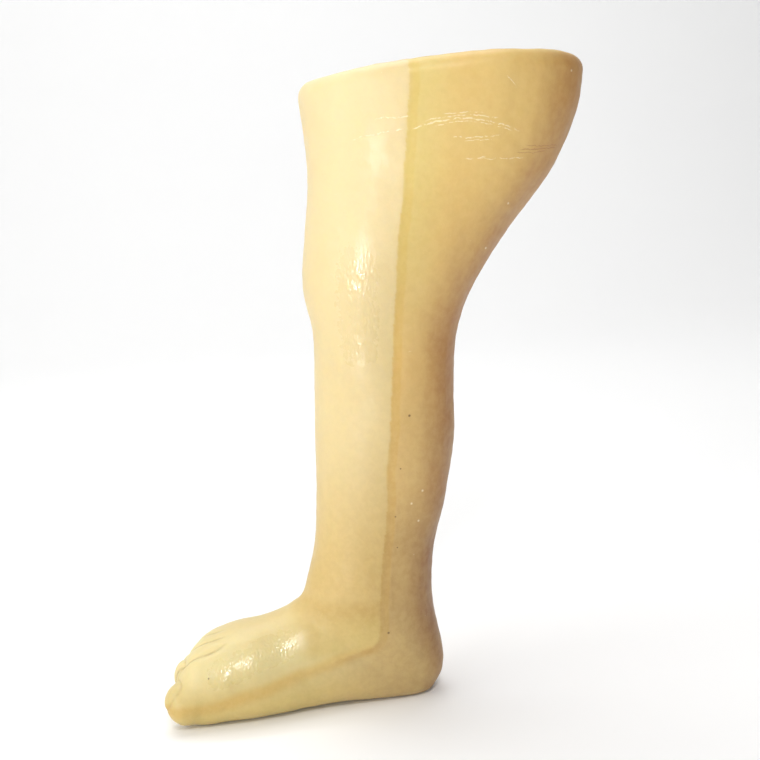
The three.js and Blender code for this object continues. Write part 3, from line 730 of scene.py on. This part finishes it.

# What the plain tones are multiplied by in each place; the tints near the seam's front, on the
# back and in the leg's band behind the step are painted shade.
SEAM_FRONT_SHADE_TINT = (0.86, 0.83, 0.77)
ANKLE_TINT = (0.86, 0.77, 0.56)
BACK_SHADE_TINT = (0.68, 0.45, 0.30)
SEAM_REAR_TINT = (0.94, 1.05, 1.07)
STEP_SHADE_TINT = (0.98, 0.945, 0.78)
FOOT_BAND_TINT = (0.95, 0.84, 0.64)

CREASE_SHADE_BROWN = rgb(150, 124, 72)
NAIL_FOLD_SHADE_BROWN = rgb(168, 138, 80)
SPECKLE_BROWN = rgb(184, 146, 82)
MOTTLE_CREAM = rgb(250, 226, 160)
PIT_SHADE_BROWN = rgb(104, 76, 42)
MARK_RED = rgb(160, 96, 60)
SCRATCH_CREAM = rgb(255, 250, 222)


def skin_colour(s, rest, y, z, seam):
    """The plain colour: pale in front of the seam, golden behind it, deeper lower down, with
    painted shade towards the seam, on backward-facing surfaces and behind the leg's mould step,
    and painted light on the top of the foot.
    """
    front = by_height(s, z, FRONT_TONES_AND_LIT_FOOT_TOP)
    # Painted shade: the front darkens towards the seam, where it turns away from the front light,
    # less so on the thigh.
    near = s.times(s.ramp(seam, 33.0, 2.0), s.ramp(z, 260.0, 150.0, 0.65, 1.0))
    front = s.tinted(near, front, SEAM_FRONT_SHADE_TINT)
    ankle = s.times(window(s, z, 34.0, 52.0, 10.0), s.ramp(y, -50.0, -37.0))
    front = s.tinted(ankle, front, ANKLE_TINT)

    rear = by_height(s, z, REAR_TONES)
    # Painted shade: surfaces that face backwards, away from the lamps, are tinted browner.
    turned_from_light = s.ramp(s.attribute("rearward"), 0.1, 0.82)
    rear = s.tinted(turned_from_light, rear, BACK_SHADE_TINT)
    forefoot = s.times(s.ramp(z, 36.0, 30.0), s.ramp(y, 6.0, -55.0))
    rear = s.mix(forefoot, rear, front)
    beside = s.times(s.ramp(seam, -26.0, -4.0), s.ramp(z, 170.0, 240.0))
    rear = s.tinted(beside, rear, SEAM_REAR_TINT)

    # The two meet in an edge that is softer on the thigh.
    edge = s.times(seam, s.ramp(z, 240.0, 320.0, 1.0, 0.55))
    colour = s.mix(s.ramp(edge, -1.3, 1.0), rear, front)
    clouds = s.noise(rest, 0.035, 3.0, 0.55)
    colour = s.mix(s.ramp(clouds, 0.35, 0.7, 0.0, 0.16), colour, CLOUD_TONE)

    # A band of painted shade runs behind the mould's step on the leg, and a darker band runs along
    # the seam on the foot.
    step_shade_band = s.times(
        s.ramp(seam, -5.2, -3.8), s.ramp(seam, 0.5, -0.5), s.ramp(z, 30.0, 40.0))
    foot_band = s.times(
        s.ramp(seam, -6.0, -1.0), s.ramp(seam, 4.6, 0.6), s.ramp(z, 36.0, 30.0),
        s.ramp(clouds, 0.3, 0.6, 0.55, 1.0))
    colour = s.tinted(step_shade_band, colour, STEP_SHADE_TINT)
    return s.tinted(foot_band, colour, FOOT_BAND_TINT)


def skin_material():
    """Waxy moulded foam skin: pale in front, golden behind, glossy, with handling marks; its
    colour also holds painted shade and painted light.
    """
    s = Shader(
        "cover_skin", Coat_Weight=0.05, Coat_Roughness=0.3, IOR=1.5,
        Subsurface_Weight=0.3, Subsurface_Scale=0.006, Subsurface_Radius=(1.0, 0.55, 0.2),
    )
    rest = s.attribute("rest", "Vector")
    sway = s.maths("MULTIPLY_ADD", s.noise(rest, 0.06, 2.0, 0.5), 2.0, -1.0)
    seam = s.maths("ADD", s.attribute("seam"), sway)
    x, y, z = s.axes(rest)
    inner_side = s.ramp(x, 2.0, 10.0)
    colour = skin_colour(s, rest, y, z, seam)

    # Thin lines of painted shade in the creases between the toes and round the nails.
    crease = None
    for offset in (*s.axes(s.attribute("creases", "Vector")), s.attribute("last_crease")):
        line = s.ramp(s.maths("ABSOLUTE", offset), 0.95, 0.1)
        crease = line if crease is None else s.maths("MAXIMUM", crease, line)
    broken = s.noise(rest, 0.35, 2.0, 0.5)
    crease = s.times(
        crease, s.ramp(y, CREASE_FADE[1], CREASE_FADE[0]), s.ramp(z, 9.0, 16.0),
        s.ramp(broken, 0.3, 0.5, 0.55, 1.0))
    nail = s.maths("ABSOLUTE", s.maths("SUBTRACT", s.attribute("nail"), 1.07))
    nail = s.times(s.ramp(nail, 0.12, 0.02), s.ramp(broken, 0.35, 0.55, 0.3, 1.0))
    # Painted shade darkens the creases and the nail folds.
    colour = s.mix(s.times(crease, 0.42), colour, CREASE_SHADE_BROWN)
    colour = s.mix(s.times(nail, 0.28), colour, NAIL_FOLD_SHADE_BROWN)
    speckle = s.ramp(s.noise(rest, 0.75, 2.0, 0.6), 0.66, 0.76)
    colour = s.mix(s.times(speckle, 0.09), colour, SPECKLE_BROWN)
    mottle = s.noise(rest, 0.28, 4.0, 0.7)
    colour = s.mix(s.ramp(mottle, 0.35, 0.65, 0.0, 0.07), colour, MOTTLE_CREAM)

    # Small pits darkened with painted shade, reddish lines behind the thigh, pale scuffs and
    # nicks.
    pits = s.maths(
        "MAXIMUM", spots(s, y, z, inner_side, *DEEP_PITS), spots(s, y, z, inner_side, *FINE_PITS))
    colour = s.mix(s.times(pits, 0.8), colour, PIT_SHADE_BROWN)
    wobble = s.maths("MULTIPLY_ADD", s.noise(rest, 0.22, 2.0, 0.6), 2.6, -1.3)
    red = fine_lines(s, y, z, inner_side, wobble, RED_LINES)
    colour = s.mix(s.times(red, 0.42), colour, MARK_RED)
    worn = s.ramp(s.noise(rest, 0.5, 3.0, 0.6), 0.4, 0.55)
    scratches = s.times(fine_lines(s, y, z, inner_side, wobble, SCUFFS), worn)
    stray = s.noise(s.stretched(rest, (0.3, 0.35, 1.3)), 1.0, 3.0, 0.55, 0.6)
    stray = s.ramp(stray, 0.735, 0.77)
    scratches = s.maths("MAXIMUM", scratches, s.times(stray, 0.5))
    scratches = s.maths("MAXIMUM", scratches, spots(s, y, z, inner_side, *NICKS))
    colour = s.mix(s.times(scratches, 0.4), colour, SCRATCH_CREAM)
    s.join(colour, "Base Color")

    # Gloss: dull wax, rubbed to a shine on the knee, one spot of the thigh and the instep.
    ridge = s.maths("SUBTRACT", z, s.maths("MULTIPLY_ADD", y, INSTEP_SLOPE, INSTEP_HEIGHT))
    spot_and_instep = s.maths(
        "MAXIMUM", s.times(patch(s, z, y, THIGH_SHINE), 0.4), patch(s, ridge, y, INSTEP_SHINE))
    polish = s.maths("MAXIMUM", patch(s, z, y, KNEE_SHINE), spot_and_instep)
    polish = s.times(polish, inner_side)
    dull = s.ramp(s.noise(rest, 0.06, 4.0, 0.6), 0.3, 0.7, 0.4, 0.52)
    shine = s.ramp(s.noise(rest, 0.3, 3.0, 0.6), 0.35, 0.7, 0.12, 0.25)
    gloss = s.node("ShaderNodeMix", {0: polish, 2: dull, 3: shine}).outputs[0]
    s.join(s.maths("MULTIPLY_ADD", scratches, 0.12, gloss), "Roughness")

    # Relief finer than the mesh: peel, crinkles in the shine, wrinkles, scratches and creases.
    peel = s.noise(rest, 0.55, 3.0, 0.55)
    grain = s.noise(rest, 2.4, 2.0, 0.6)
    crinkles = s.noise(s.stretched(rest, (0.75, 0.75, 0.42)), 1.0, 0.7, 0.5, 0.3)
    crinkles = s.times(s.maths("SUBTRACT", crinkles, 0.5), s.maths("POWER", polish, 1.6))
    wrinkles = s.noise(s.stretched(rest, (0.5, 0.5, 1.8)), 1.0, 2.0, 0.6, 0.3)
    wrinkles = s.times(s.maths("SUBTRACT", wrinkles, 0.5), patch(s, z, y, ANKLE_WRINKLES))
    folds = s.maths("MAXIMUM", crease, s.times(nail, 0.4))
    normal = s.bump(peel, 0.1, 0.0005)
    normal = s.bump(grain, 0.06, 0.00015, normal)
    normal = s.bump(crinkles, 1.0, 0.0002, normal)
    normal = s.bump(wrinkles, 0.4, 0.0006, normal)
    normal = s.bump(s.maths("ADD", red, pits), 0.4, -0.0003, normal)
    normal = s.bump(scratches, 0.3, 0.0003, normal)
    normal = s.bump(folds, 0.6, -0.0005, normal)
    s.join(normal, "Normal")
    s.join(normal, "Coat Normal")
    return s.material


def weave_material(name, light, dark, threads_per_mm):
    """Woven cloth on foam: crossed threads with soft fuzz."""
    s = Shader(name, Sheen_Weight=0.35, Sheen_Roughness=0.5, Roughness=0.9)
    where = s.millimetres()
    pitch = threads_per_mm * 2 * math.pi
    x, y, z = s.axes(where)
    around = s.maths("ADD", x, y)
    warp = s.maths("SINE", s.maths("MULTIPLY", around, pitch * 0.7))
    weft = s.maths("SINE", s.maths("MULTIPLY", z, pitch))
    cross = s.maths("SINE", s.maths("MULTIPLY", s.maths("SUBTRACT", x, y), pitch * 0.7))
    thread = s.maths("MAXIMUM", s.maths("MULTIPLY", warp, weft), s.maths("MULTIPLY", cross, weft))
    fuzz = s.noise(where, 1.7, 3.0, 0.65)
    share = s.maths("MULTIPLY_ADD", thread, 0.3, fuzz)
    patches = s.noise(where, 0.05, 3.0, 0.6)
    colour = s.mix(s.ramp(share, 0.15, 0.8), dark, light)
    colour = s.mix(s.ramp(patches, 0.4, 0.75, 0.0, 0.3), colour, dark)
    s.join(colour, "Base Color")
    s.join(s.ramp(fuzz, 0.2, 0.8, 0.78, 0.97), "Roughness")
    s.join(s.bump(share, 0.6, 0.0004), "Normal")
    return s.material


def foam_material(name, light, dark, cell):
    """Closed-cell foam: fine bubbles and cloudy tone."""
    s = Shader(name, Subsurface_Weight=0.15, Subsurface_Scale=0.002)
    where = s.millimetres()
    bubbles = s.node("ShaderNodeTexVoronoi", {"Vector": where, "Scale": cell}).outputs["Distance"]
    clouds = s.noise(where, 0.12, 4.0, 0.6)
    colour = s.mix(s.ramp(bubbles, 0.05, 0.6), dark, light)
    colour = s.mix(s.ramp(clouds, 0.4, 0.75, 0.0, 0.45), colour, dark)
    s.join(colour, "Base Color")
    s.join(s.ramp(clouds, 0.3, 0.7, 0.72, 0.92), "Roughness")
    s.join(s.bump(bubbles, 0.5, 0.0004), "Normal")
    return s.material


def metal_material(name, light, dark, rough, grain):
    """Machined metal: grain along one direction, smudges, and brighter worn edges."""
    s = Shader(name, Metallic=1.0)
    where = s.millimetres()
    lines = s.noise(s.stretched(where, grain), 1.0, 3.0, 0.6)
    smudge = s.noise(where, 0.15, 4.0, 0.6)
    worn = s.ramp(s.node("ShaderNodeNewGeometry").outputs["Pointiness"], 0.5, 0.56)
    colour = s.mix(s.ramp(lines, 0.3, 0.7), dark, light)
    colour = s.mix(s.ramp(smudge, 0.45, 0.75, 0.0, 0.4), colour, dark)
    colour = s.mix(s.maths("MULTIPLY", worn, 0.6), colour, rgb(240, 240, 238))
    s.join(colour, "Base Color")
    s.join(s.ramp(smudge, 0.3, 0.75, rough, rough + 0.16), "Roughness")
    s.join(s.bump(lines, 0.25, 0.0001), "Normal")
    return s.material


def rubber_material():
    s = Shader("rubber", IOR=1.5)
    where = s.millimetres()
    dust = s.noise(where, 0.4, 5.0, 0.65)
    fine = s.noise(where, 3.5, 2.0, 0.6)
    s.join(s.mix(s.ramp(dust, 0.45, 0.75), rgb(40, 40, 42), rgb(78, 76, 74)), "Base Color")
    s.join(s.ramp(dust, 0.3, 0.7, 0.6, 0.85), "Roughness")
    s.join(s.bump(fine, 0.4, 0.0002), "Normal")
    return s.material


def wood_material():
    """Maple: long grain along the foot with fine pores."""
    s = Shader("keel_wood", Coat_Weight=0.15, Coat_Roughness=0.3)
    where = s.millimetres()
    bent = s.noise(s.stretched(where, (0.06, 0.012, 0.06)), 1.0, 3.0, 0.5)
    rings = s.maths("SINE", s.maths("MULTIPLY_ADD", bent, 70.0, 0.0))
    pores = s.noise(s.stretched(where, (2.5, 0.18, 2.5)), 1.0, 3.0, 0.65)
    colour = s.mix(s.ramp(rings, -1.0, 1.0), rgb(206, 168, 118), rgb(176, 132, 82))
    colour = s.mix(s.ramp(pores, 0.52, 0.7, 0.0, 0.5), colour, rgb(138, 96, 56))
    s.join(colour, "Base Color")
    s.join(s.ramp(pores, 0.3, 0.7, 0.42, 0.6), "Roughness")
    s.join(s.bump(pores, 0.3, 0.0002), "Normal")
    return s.material


def shell_material():
    """Laminated socket: resin over knitted stockinette that shows faintly through it."""
    s = Shader("socket_shell", Coat_Weight=0.6, Coat_Roughness=0.08, Subsurface_Weight=0.1,
               Subsurface_Scale=0.003)
    where = s.millimetres()
    x, y, z = s.axes(where)
    rib = s.maths("SINE", s.maths("MULTIPLY", s.maths("ADD", x, y), 3.4))
    loop = s.maths("SINE", s.maths("MULTIPLY_ADD", rib, 0.9, s.maths("MULTIPLY", z, 5.2)))
    knit = s.maths("MULTIPLY", rib, loop)
    clouds = s.noise(where, 0.07, 4.0, 0.6)
    colour = s.mix(s.ramp(knit, -0.8, 0.8), rgb(214, 200, 170), rgb(232, 220, 194))
    colour = s.mix(s.ramp(clouds, 0.45, 0.75, 0.0, 0.35), colour, rgb(205, 184, 146))
    s.join(colour, "Base Color")
    s.join(s.ramp(clouds, 0.3, 0.7, 0.24, 0.38), "Roughness")
    s.join(s.bump(knit, 0.12, 0.0002), "Normal")
    return s.material


SKIN = skin_material()
LINER = weave_material("liner_cloth", rgb(236, 226, 208), rgb(190, 174, 148), 0.9)
PAD = weave_material("pad_cloth", rgb(226, 208, 180), rgb(172, 148, 116), 0.7)
WEDGE = foam_material("wedge_foam", rgb(170, 164, 152), rgb(120, 114, 104), 0.9)
PLUG = foam_material("plug_foam", rgb(214, 190, 136), rgb(182, 152, 100), 1.2)
RUBBER = rubber_material()
WOOD = wood_material()
SHELL = shell_material()
BRASS = metal_material("bush_brass", rgb(214, 176, 96), rgb(160, 122, 56), 0.26, (3.0, 0.3, 3.0))
DARK = metal_material("dark_steel", rgb(96, 98, 104), rgb(48, 50, 54), 0.34, (2.0, 2.0, 0.4))
BRIGHT = metal_material(
    "bright_steel", rgb(214, 216, 220), rgb(160, 164, 170), 0.2, (0.3, 3.0, 3.0))
ALUMINIUM = metal_material(
    "aluminium", rgb(220, 222, 226), rgb(170, 173, 178), 0.3, (0.25, 2.5, 2.5))


# ---------------------------------------------------------------- pieces


def finish(piece, body, slot, material, *nodes):
    """Gives a piece its material and its body, and hides the CAD nodes that it stands for; slot is
    not used.
    """
    piece.data.materials.clear()
    piece.data.materials.append(material)
    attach(piece, body)
    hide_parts(*nodes)
    return piece


def rounded_cup(outer, inner, roll):
    """A cup wall between two stacks of rings that end level, its brim rounded by roll."""
    brim, mouth = outer[-1], inner[-1]
    middle = (brim + mouth) / 2
    reach = (brim - mouth) / 2
    arc = []
    for degrees in range(0, 181, 18):
        turn = math.radians(degrees)
        arc.append(middle + reach * math.cos(turn) + [0, 0, roll * (math.sin(turn) - 1)])
    return lofted([*outer[:-1], *arc, *inner[:-1][::-1]])


def cover():
    """The skin, one piece from the rim to the toes, in the place of the CAD's thigh, knee and shin
    covers.
    """
    piece = leg_cover()
    piece.data.materials.clear()
    piece.data.materials.append(SKIN)
    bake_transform(piece)
    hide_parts("thigh_cover", "knee_cover", "shin_cover")


def socket():
    """The hard cup, with holes for the screws that hold it to its plate."""
    outer = socket_rings(0, 0)
    inner = socket_rings(SOCKET_WALL, SOCKET_FLOOR_WALL)
    shell = piece_from("socket_shell", *rounded_cup(outer, inner, SOCKET_WALL / 2))
    for i in range(1, 5):
        carve(shell, hull_around("hole", node_points(f"socket_screw_{i}"), 0.25, (2, 0)))
    shade_smooth(shell.data)
    finish(shell, "thigh", "socket_shell", SHELL, "socket")


def liner():
    """The soft cup inside the socket, with two stitched lines below its brim."""
    inset, lift = SOCKET_WALL + GAP, SOCKET_FLOOR_WALL + GAP
    outer = socket_rings(inset, lift)
    inner = socket_rings(inset + LINER_WALL, lift + LINER_WALL)
    cup = piece_from("socket_liner_cup", *rounded_cup(outer, inner, LINER_WALL / 2))
    remesh(cup, 1.1)
    mesh = cup.data
    points = relaxed(coordinates(mesh), edge_pairs(mesh), 3, 0.5)
    place(mesh, points)
    facing = normals(mesh)
    points /= MM
    centre_y = (points[:, 1].min() + points[:, 1].max()) / 2
    away = points[:, :2] - [0, centre_y]
    inward = -(facing[:, :2] * away).sum(axis=1) / np.linalg.norm(away, axis=1)
    quilt = -0.35 * bell(points[:, 2] - 300, 0.9) - 0.35 * bell(points[:, 2] - 296, 0.9)
    soft = 0.12 * ripple(points, 11, 14)
    points += facing * ((quilt + soft) * step(0.2, 0.6, inward))[:, None]
    place(mesh, points * MM)
    shade_smooth(mesh)
    finish(cup, "thigh", "liner_foam", LINER, "socket_liner")


def soft_copy(name, node, size, rounds, swell, seed):
    """A rounded, slightly uneven soft body in the place of a plain CAD solid."""
    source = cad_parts[node].data
    piece = piece_from(
        name, coordinates(source) / MM, [tuple(p.vertices) for p in source.polygons])
    remesh(piece, size)
    mesh = piece.data
    points = relaxed(coordinates(mesh), edge_pairs(mesh), rounds, 0.5)
    place(mesh, points)
    points = points / MM
    points += normals(mesh) * (swell + 0.08 * ripple(points, seed, 10))[:, None]
    place(mesh, points * MM)
    shade_smooth(mesh)
    return piece


def end_pad():
    """A crowned pad with a stitched ring, under the end of the stump."""
    piece = soft_copy("distal_pad", "distal_end_pad", 0.8, 10, 0.15, 21)
    mesh = piece.data
    points = coordinates(mesh) / MM
    low, high = points.min(axis=0), points.max(axis=0)
    middle, half = (low + high) / 2, (high - low) / 2
    far = np.hypot((points[:, 0] - middle[0]) / half[0], (points[:, 1] - middle[1]) / half[1])
    upper = step(middle[2], high[2], points[:, 2])
    points[:, 2] += upper * (1.2 * (1 - far**2) - 0.7 * bell(far - 0.78, 0.06) - 0.9)
    place(mesh, points * MM)
    finish(piece, "thigh", "liner_foam", PAD, "distal_end_pad")


def heel_wedge():
    piece = soft_copy("heel_cushion", "heel_wedge", 0.8, 6, 0.0, 23)
    finish(piece, "shin", "liner_foam", WEDGE, "heel_wedge")


def bumper():
    piece = soft_copy("stop_bumper", "extension_bumper", 0.5, 5, 0.0, 25)
    finish(piece, "shin", "rubber", RUBBER, "extension_bumper")


def plug():
    """A push-in disc with a chamfered edge and a finger dimple."""
    low, high = (np.array(corner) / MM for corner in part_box("sole_plug"))
    middle, radius = (low + high) / 2, (high[0] - low[0]) / 2
    outline = [(0.0, 1.2), (3.0, 0.9), (4.6, 0.1), (5.4, 0), (radius - 0.7, 0), (radius, 0.7),
               (radius, 2.2), (radius - 0.4, 2.6), (radius, 3.0), (radius, high[2] - low[2])]
    angle = np.arange(64) * 2 * math.pi / 64
    rings = [np.column_stack([
        middle[0] + max(r, 0.02) * np.cos(angle), middle[1] + max(r, 0.02) * np.sin(angle),
        np.full(64, low[2] + z)]) for r, z in outline]
    piece = piece_from("sole_access_plug", *lofted(rings))
    shade_smooth(piece.data)
    finish(piece, "shin", "liner_foam", PLUG, "sole_plug")


def dress_hardware():
    """The metal and wood parts keep their CAD shape and take worked materials."""
    screws = [
        f"{group}_{i}" for i in range(1, 5)
        for group in ("socket_screw", "knee_set_screw", "ankle_set_screw")]
    looks = [
        (ALUMINIUM, ["socket_plate", "knee_head", "knee_yoke", "pylon_tube", "ankle_clamp"]),
        (BRIGHT, ["pyramid_adapter", "knee_axle", "foot_pyramid", "foot_washer"]),
        (BRASS, ["knee_bush_left", "knee_bush_right"]),
        (WOOD, ["foot_keel"]),
        (DARK, [
            "axle_circlip_left", "axle_circlip_right", "yoke_clamp_screw", "ankle_clamp_screw",
            "foot_bolt", *screws]),
    ]
    for material, names in looks:
        for name in names:
            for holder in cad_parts[name].material_slots:
                holder.material = material


# ---------------------------------------------------------------- camera, light and floor


# The photograph's view: degrees, metres and a lens in millimetres.
CAMERA = {"azimuth": 81.5, "elevation": 9.0, "distance": 0.644, "roll": 3.06, "lens": 60.1}
AIM = Vector((0, 0.0052, 0.1657))

# Area lights: name, place, sides, watts, then a target other than AIM and a roll in degrees.
LIGHTS = [
    ("front", (0.45, -1.2, 0.55), (0.8, 0.9), 4.4),
    ("strip", (1.0, -0.85, 0.14), (0.1, 0.26), 4.0),
    ("lamp", (0.80, -0.04, 0.84), (0.32, 0.06), 3.2, (0.02, -0.065, 0.036), 45),
    ("above", (-0.3, -0.1, 1.3), (0.9, 0.9), 6.0),
    ("wall", (-0.9, 0.0, 1.9), (2.0, 0.3), 16.0, (-2.4, 0.0, 0.6)),
]
SKY_FRONT, SKY_REAR = 0.66, 0.25

# The floor: how far it runs towards the camera and to each side, where it starts to curve up
# into the wall behind the leg, the radius of that curve and the wall's height.
FLOOR_NEAR, FLOOR_SIDE, FLOOR_BEND = 2.2, 3.0, -1.4
WALL_RADIUS, WALL_HEIGHT = 1.0, 3.0


def make_camera():
    azimuth, elevation, roll = (
        math.radians(CAMERA[key]) for key in ("azimuth", "elevation", "roll"))
    back = Vector((
        math.sin(azimuth) * math.cos(elevation), -math.cos(azimuth) * math.cos(elevation),
        math.sin(elevation)))
    right = Vector((0, 0, 1)).cross(back).normalized()
    up = back.cross(right)
    level, tilt = math.cos(roll), math.sin(roll)
    lens = bpy.data.cameras.new("camera")
    lens.lens = CAMERA["lens"]
    lens.sensor_width = 36.0
    lens.clip_start = 0.02
    holder = bpy.data.objects.new("camera", lens)
    bpy.context.scene.collection.objects.link(holder)
    columns = (level * right - tilt * up, tilt * right + level * up, back)
    turn = Matrix([[c[i] for c in columns] for i in range(3)]).to_4x4()
    holder.matrix_world = Matrix.Translation(AIM + back * CAMERA["distance"]) @ turn
    bpy.context.scene.camera = holder


def make_light(name, place_at, size, power, target=AIM, roll=0):
    lamp = bpy.data.lights.new(name, "AREA")
    lamp.shape = "RECTANGLE"
    lamp.size, lamp.size_y = size
    lamp.energy = power
    holder = bpy.data.objects.new(name, lamp)
    holder.location = place_at
    aimed = (Vector(target) - Vector(place_at)).to_track_quat("-Z", "Y").to_matrix()
    holder.rotation_euler = (aimed @ Matrix.Rotation(math.radians(roll), 3, "Z")).to_euler()
    holder.visible_camera = False
    bpy.context.scene.collection.objects.link(holder)


def make_floor():
    """A pale floor that curves up into a wall far behind the leg."""
    outline = [(FLOOR_NEAR, 0.0), (FLOOR_BEND, 0.0)]
    for degrees in range(10, 91, 10):
        turn = math.radians(degrees)
        outline.append((
            FLOOR_BEND - WALL_RADIUS * math.sin(turn), WALL_RADIUS * (1 - math.cos(turn))))
    outline.append((FLOOR_BEND - WALL_RADIUS, WALL_HEIGHT))
    points = [(x, y, z) for y in (-FLOOR_SIDE, FLOOR_SIDE) for x, z in outline]
    count = len(outline)
    faces = [(i, i + 1, count + i + 1, count + i) for i in range(count - 1)]
    mesh = bpy.data.meshes.new("floor")
    mesh.from_pydata(points, [], faces)
    mesh.flip_normals()
    floor = bpy.data.objects.new("floor", mesh)
    bpy.context.scene.collection.objects.link(floor)
    shade_smooth(mesh)
    s = Shader("floor", Roughness=0.85)
    tone = s.noise(s.place(), 3.0, 3.0, 0.5)
    s.join(s.mix(tone, (0.94, 0.94, 0.94, 1), (0.96, 0.96, 0.955, 1)), "Base Color")
    mesh.materials.append(s.material)


def make_world():
    """A white sky that dims from the toes' side to the heel's."""
    world = bpy.data.worlds.new("studio")
    world.use_nodes = True
    tree = world.node_tree
    toward = tree.nodes.new("ShaderNodeSeparateXYZ")
    tree.links.new(tree.nodes.new("ShaderNodeTexCoord").outputs["Generated"], toward.inputs[0])
    level = tree.nodes.new("ShaderNodeMapRange")
    level.interpolation_type = "SMOOTHSTEP"
    limits = {"From Min": -0.5, "From Max": 0.9, "To Min": SKY_FRONT, "To Max": SKY_REAR}
    for socket, value in limits.items():
        level.inputs[socket].default_value = value
    tree.links.new(toward.outputs[1], level.inputs["Value"])
    tree.links.new(level.outputs["Result"], tree.nodes["Background"].inputs[1])
    tree.nodes["Background"].inputs[0].default_value = (1.0, 1.0, 1.0, 1)
    bpy.context.scene.world = world
    bpy.context.scene.view_settings.view_transform = "Standard"


make_camera()
make_world()
make_floor()
for light in LIGHTS:
    make_light(*light)

cover()
socket()
liner()
end_pad()
heel_wedge()
bumper()
plug()
dress_hardware()
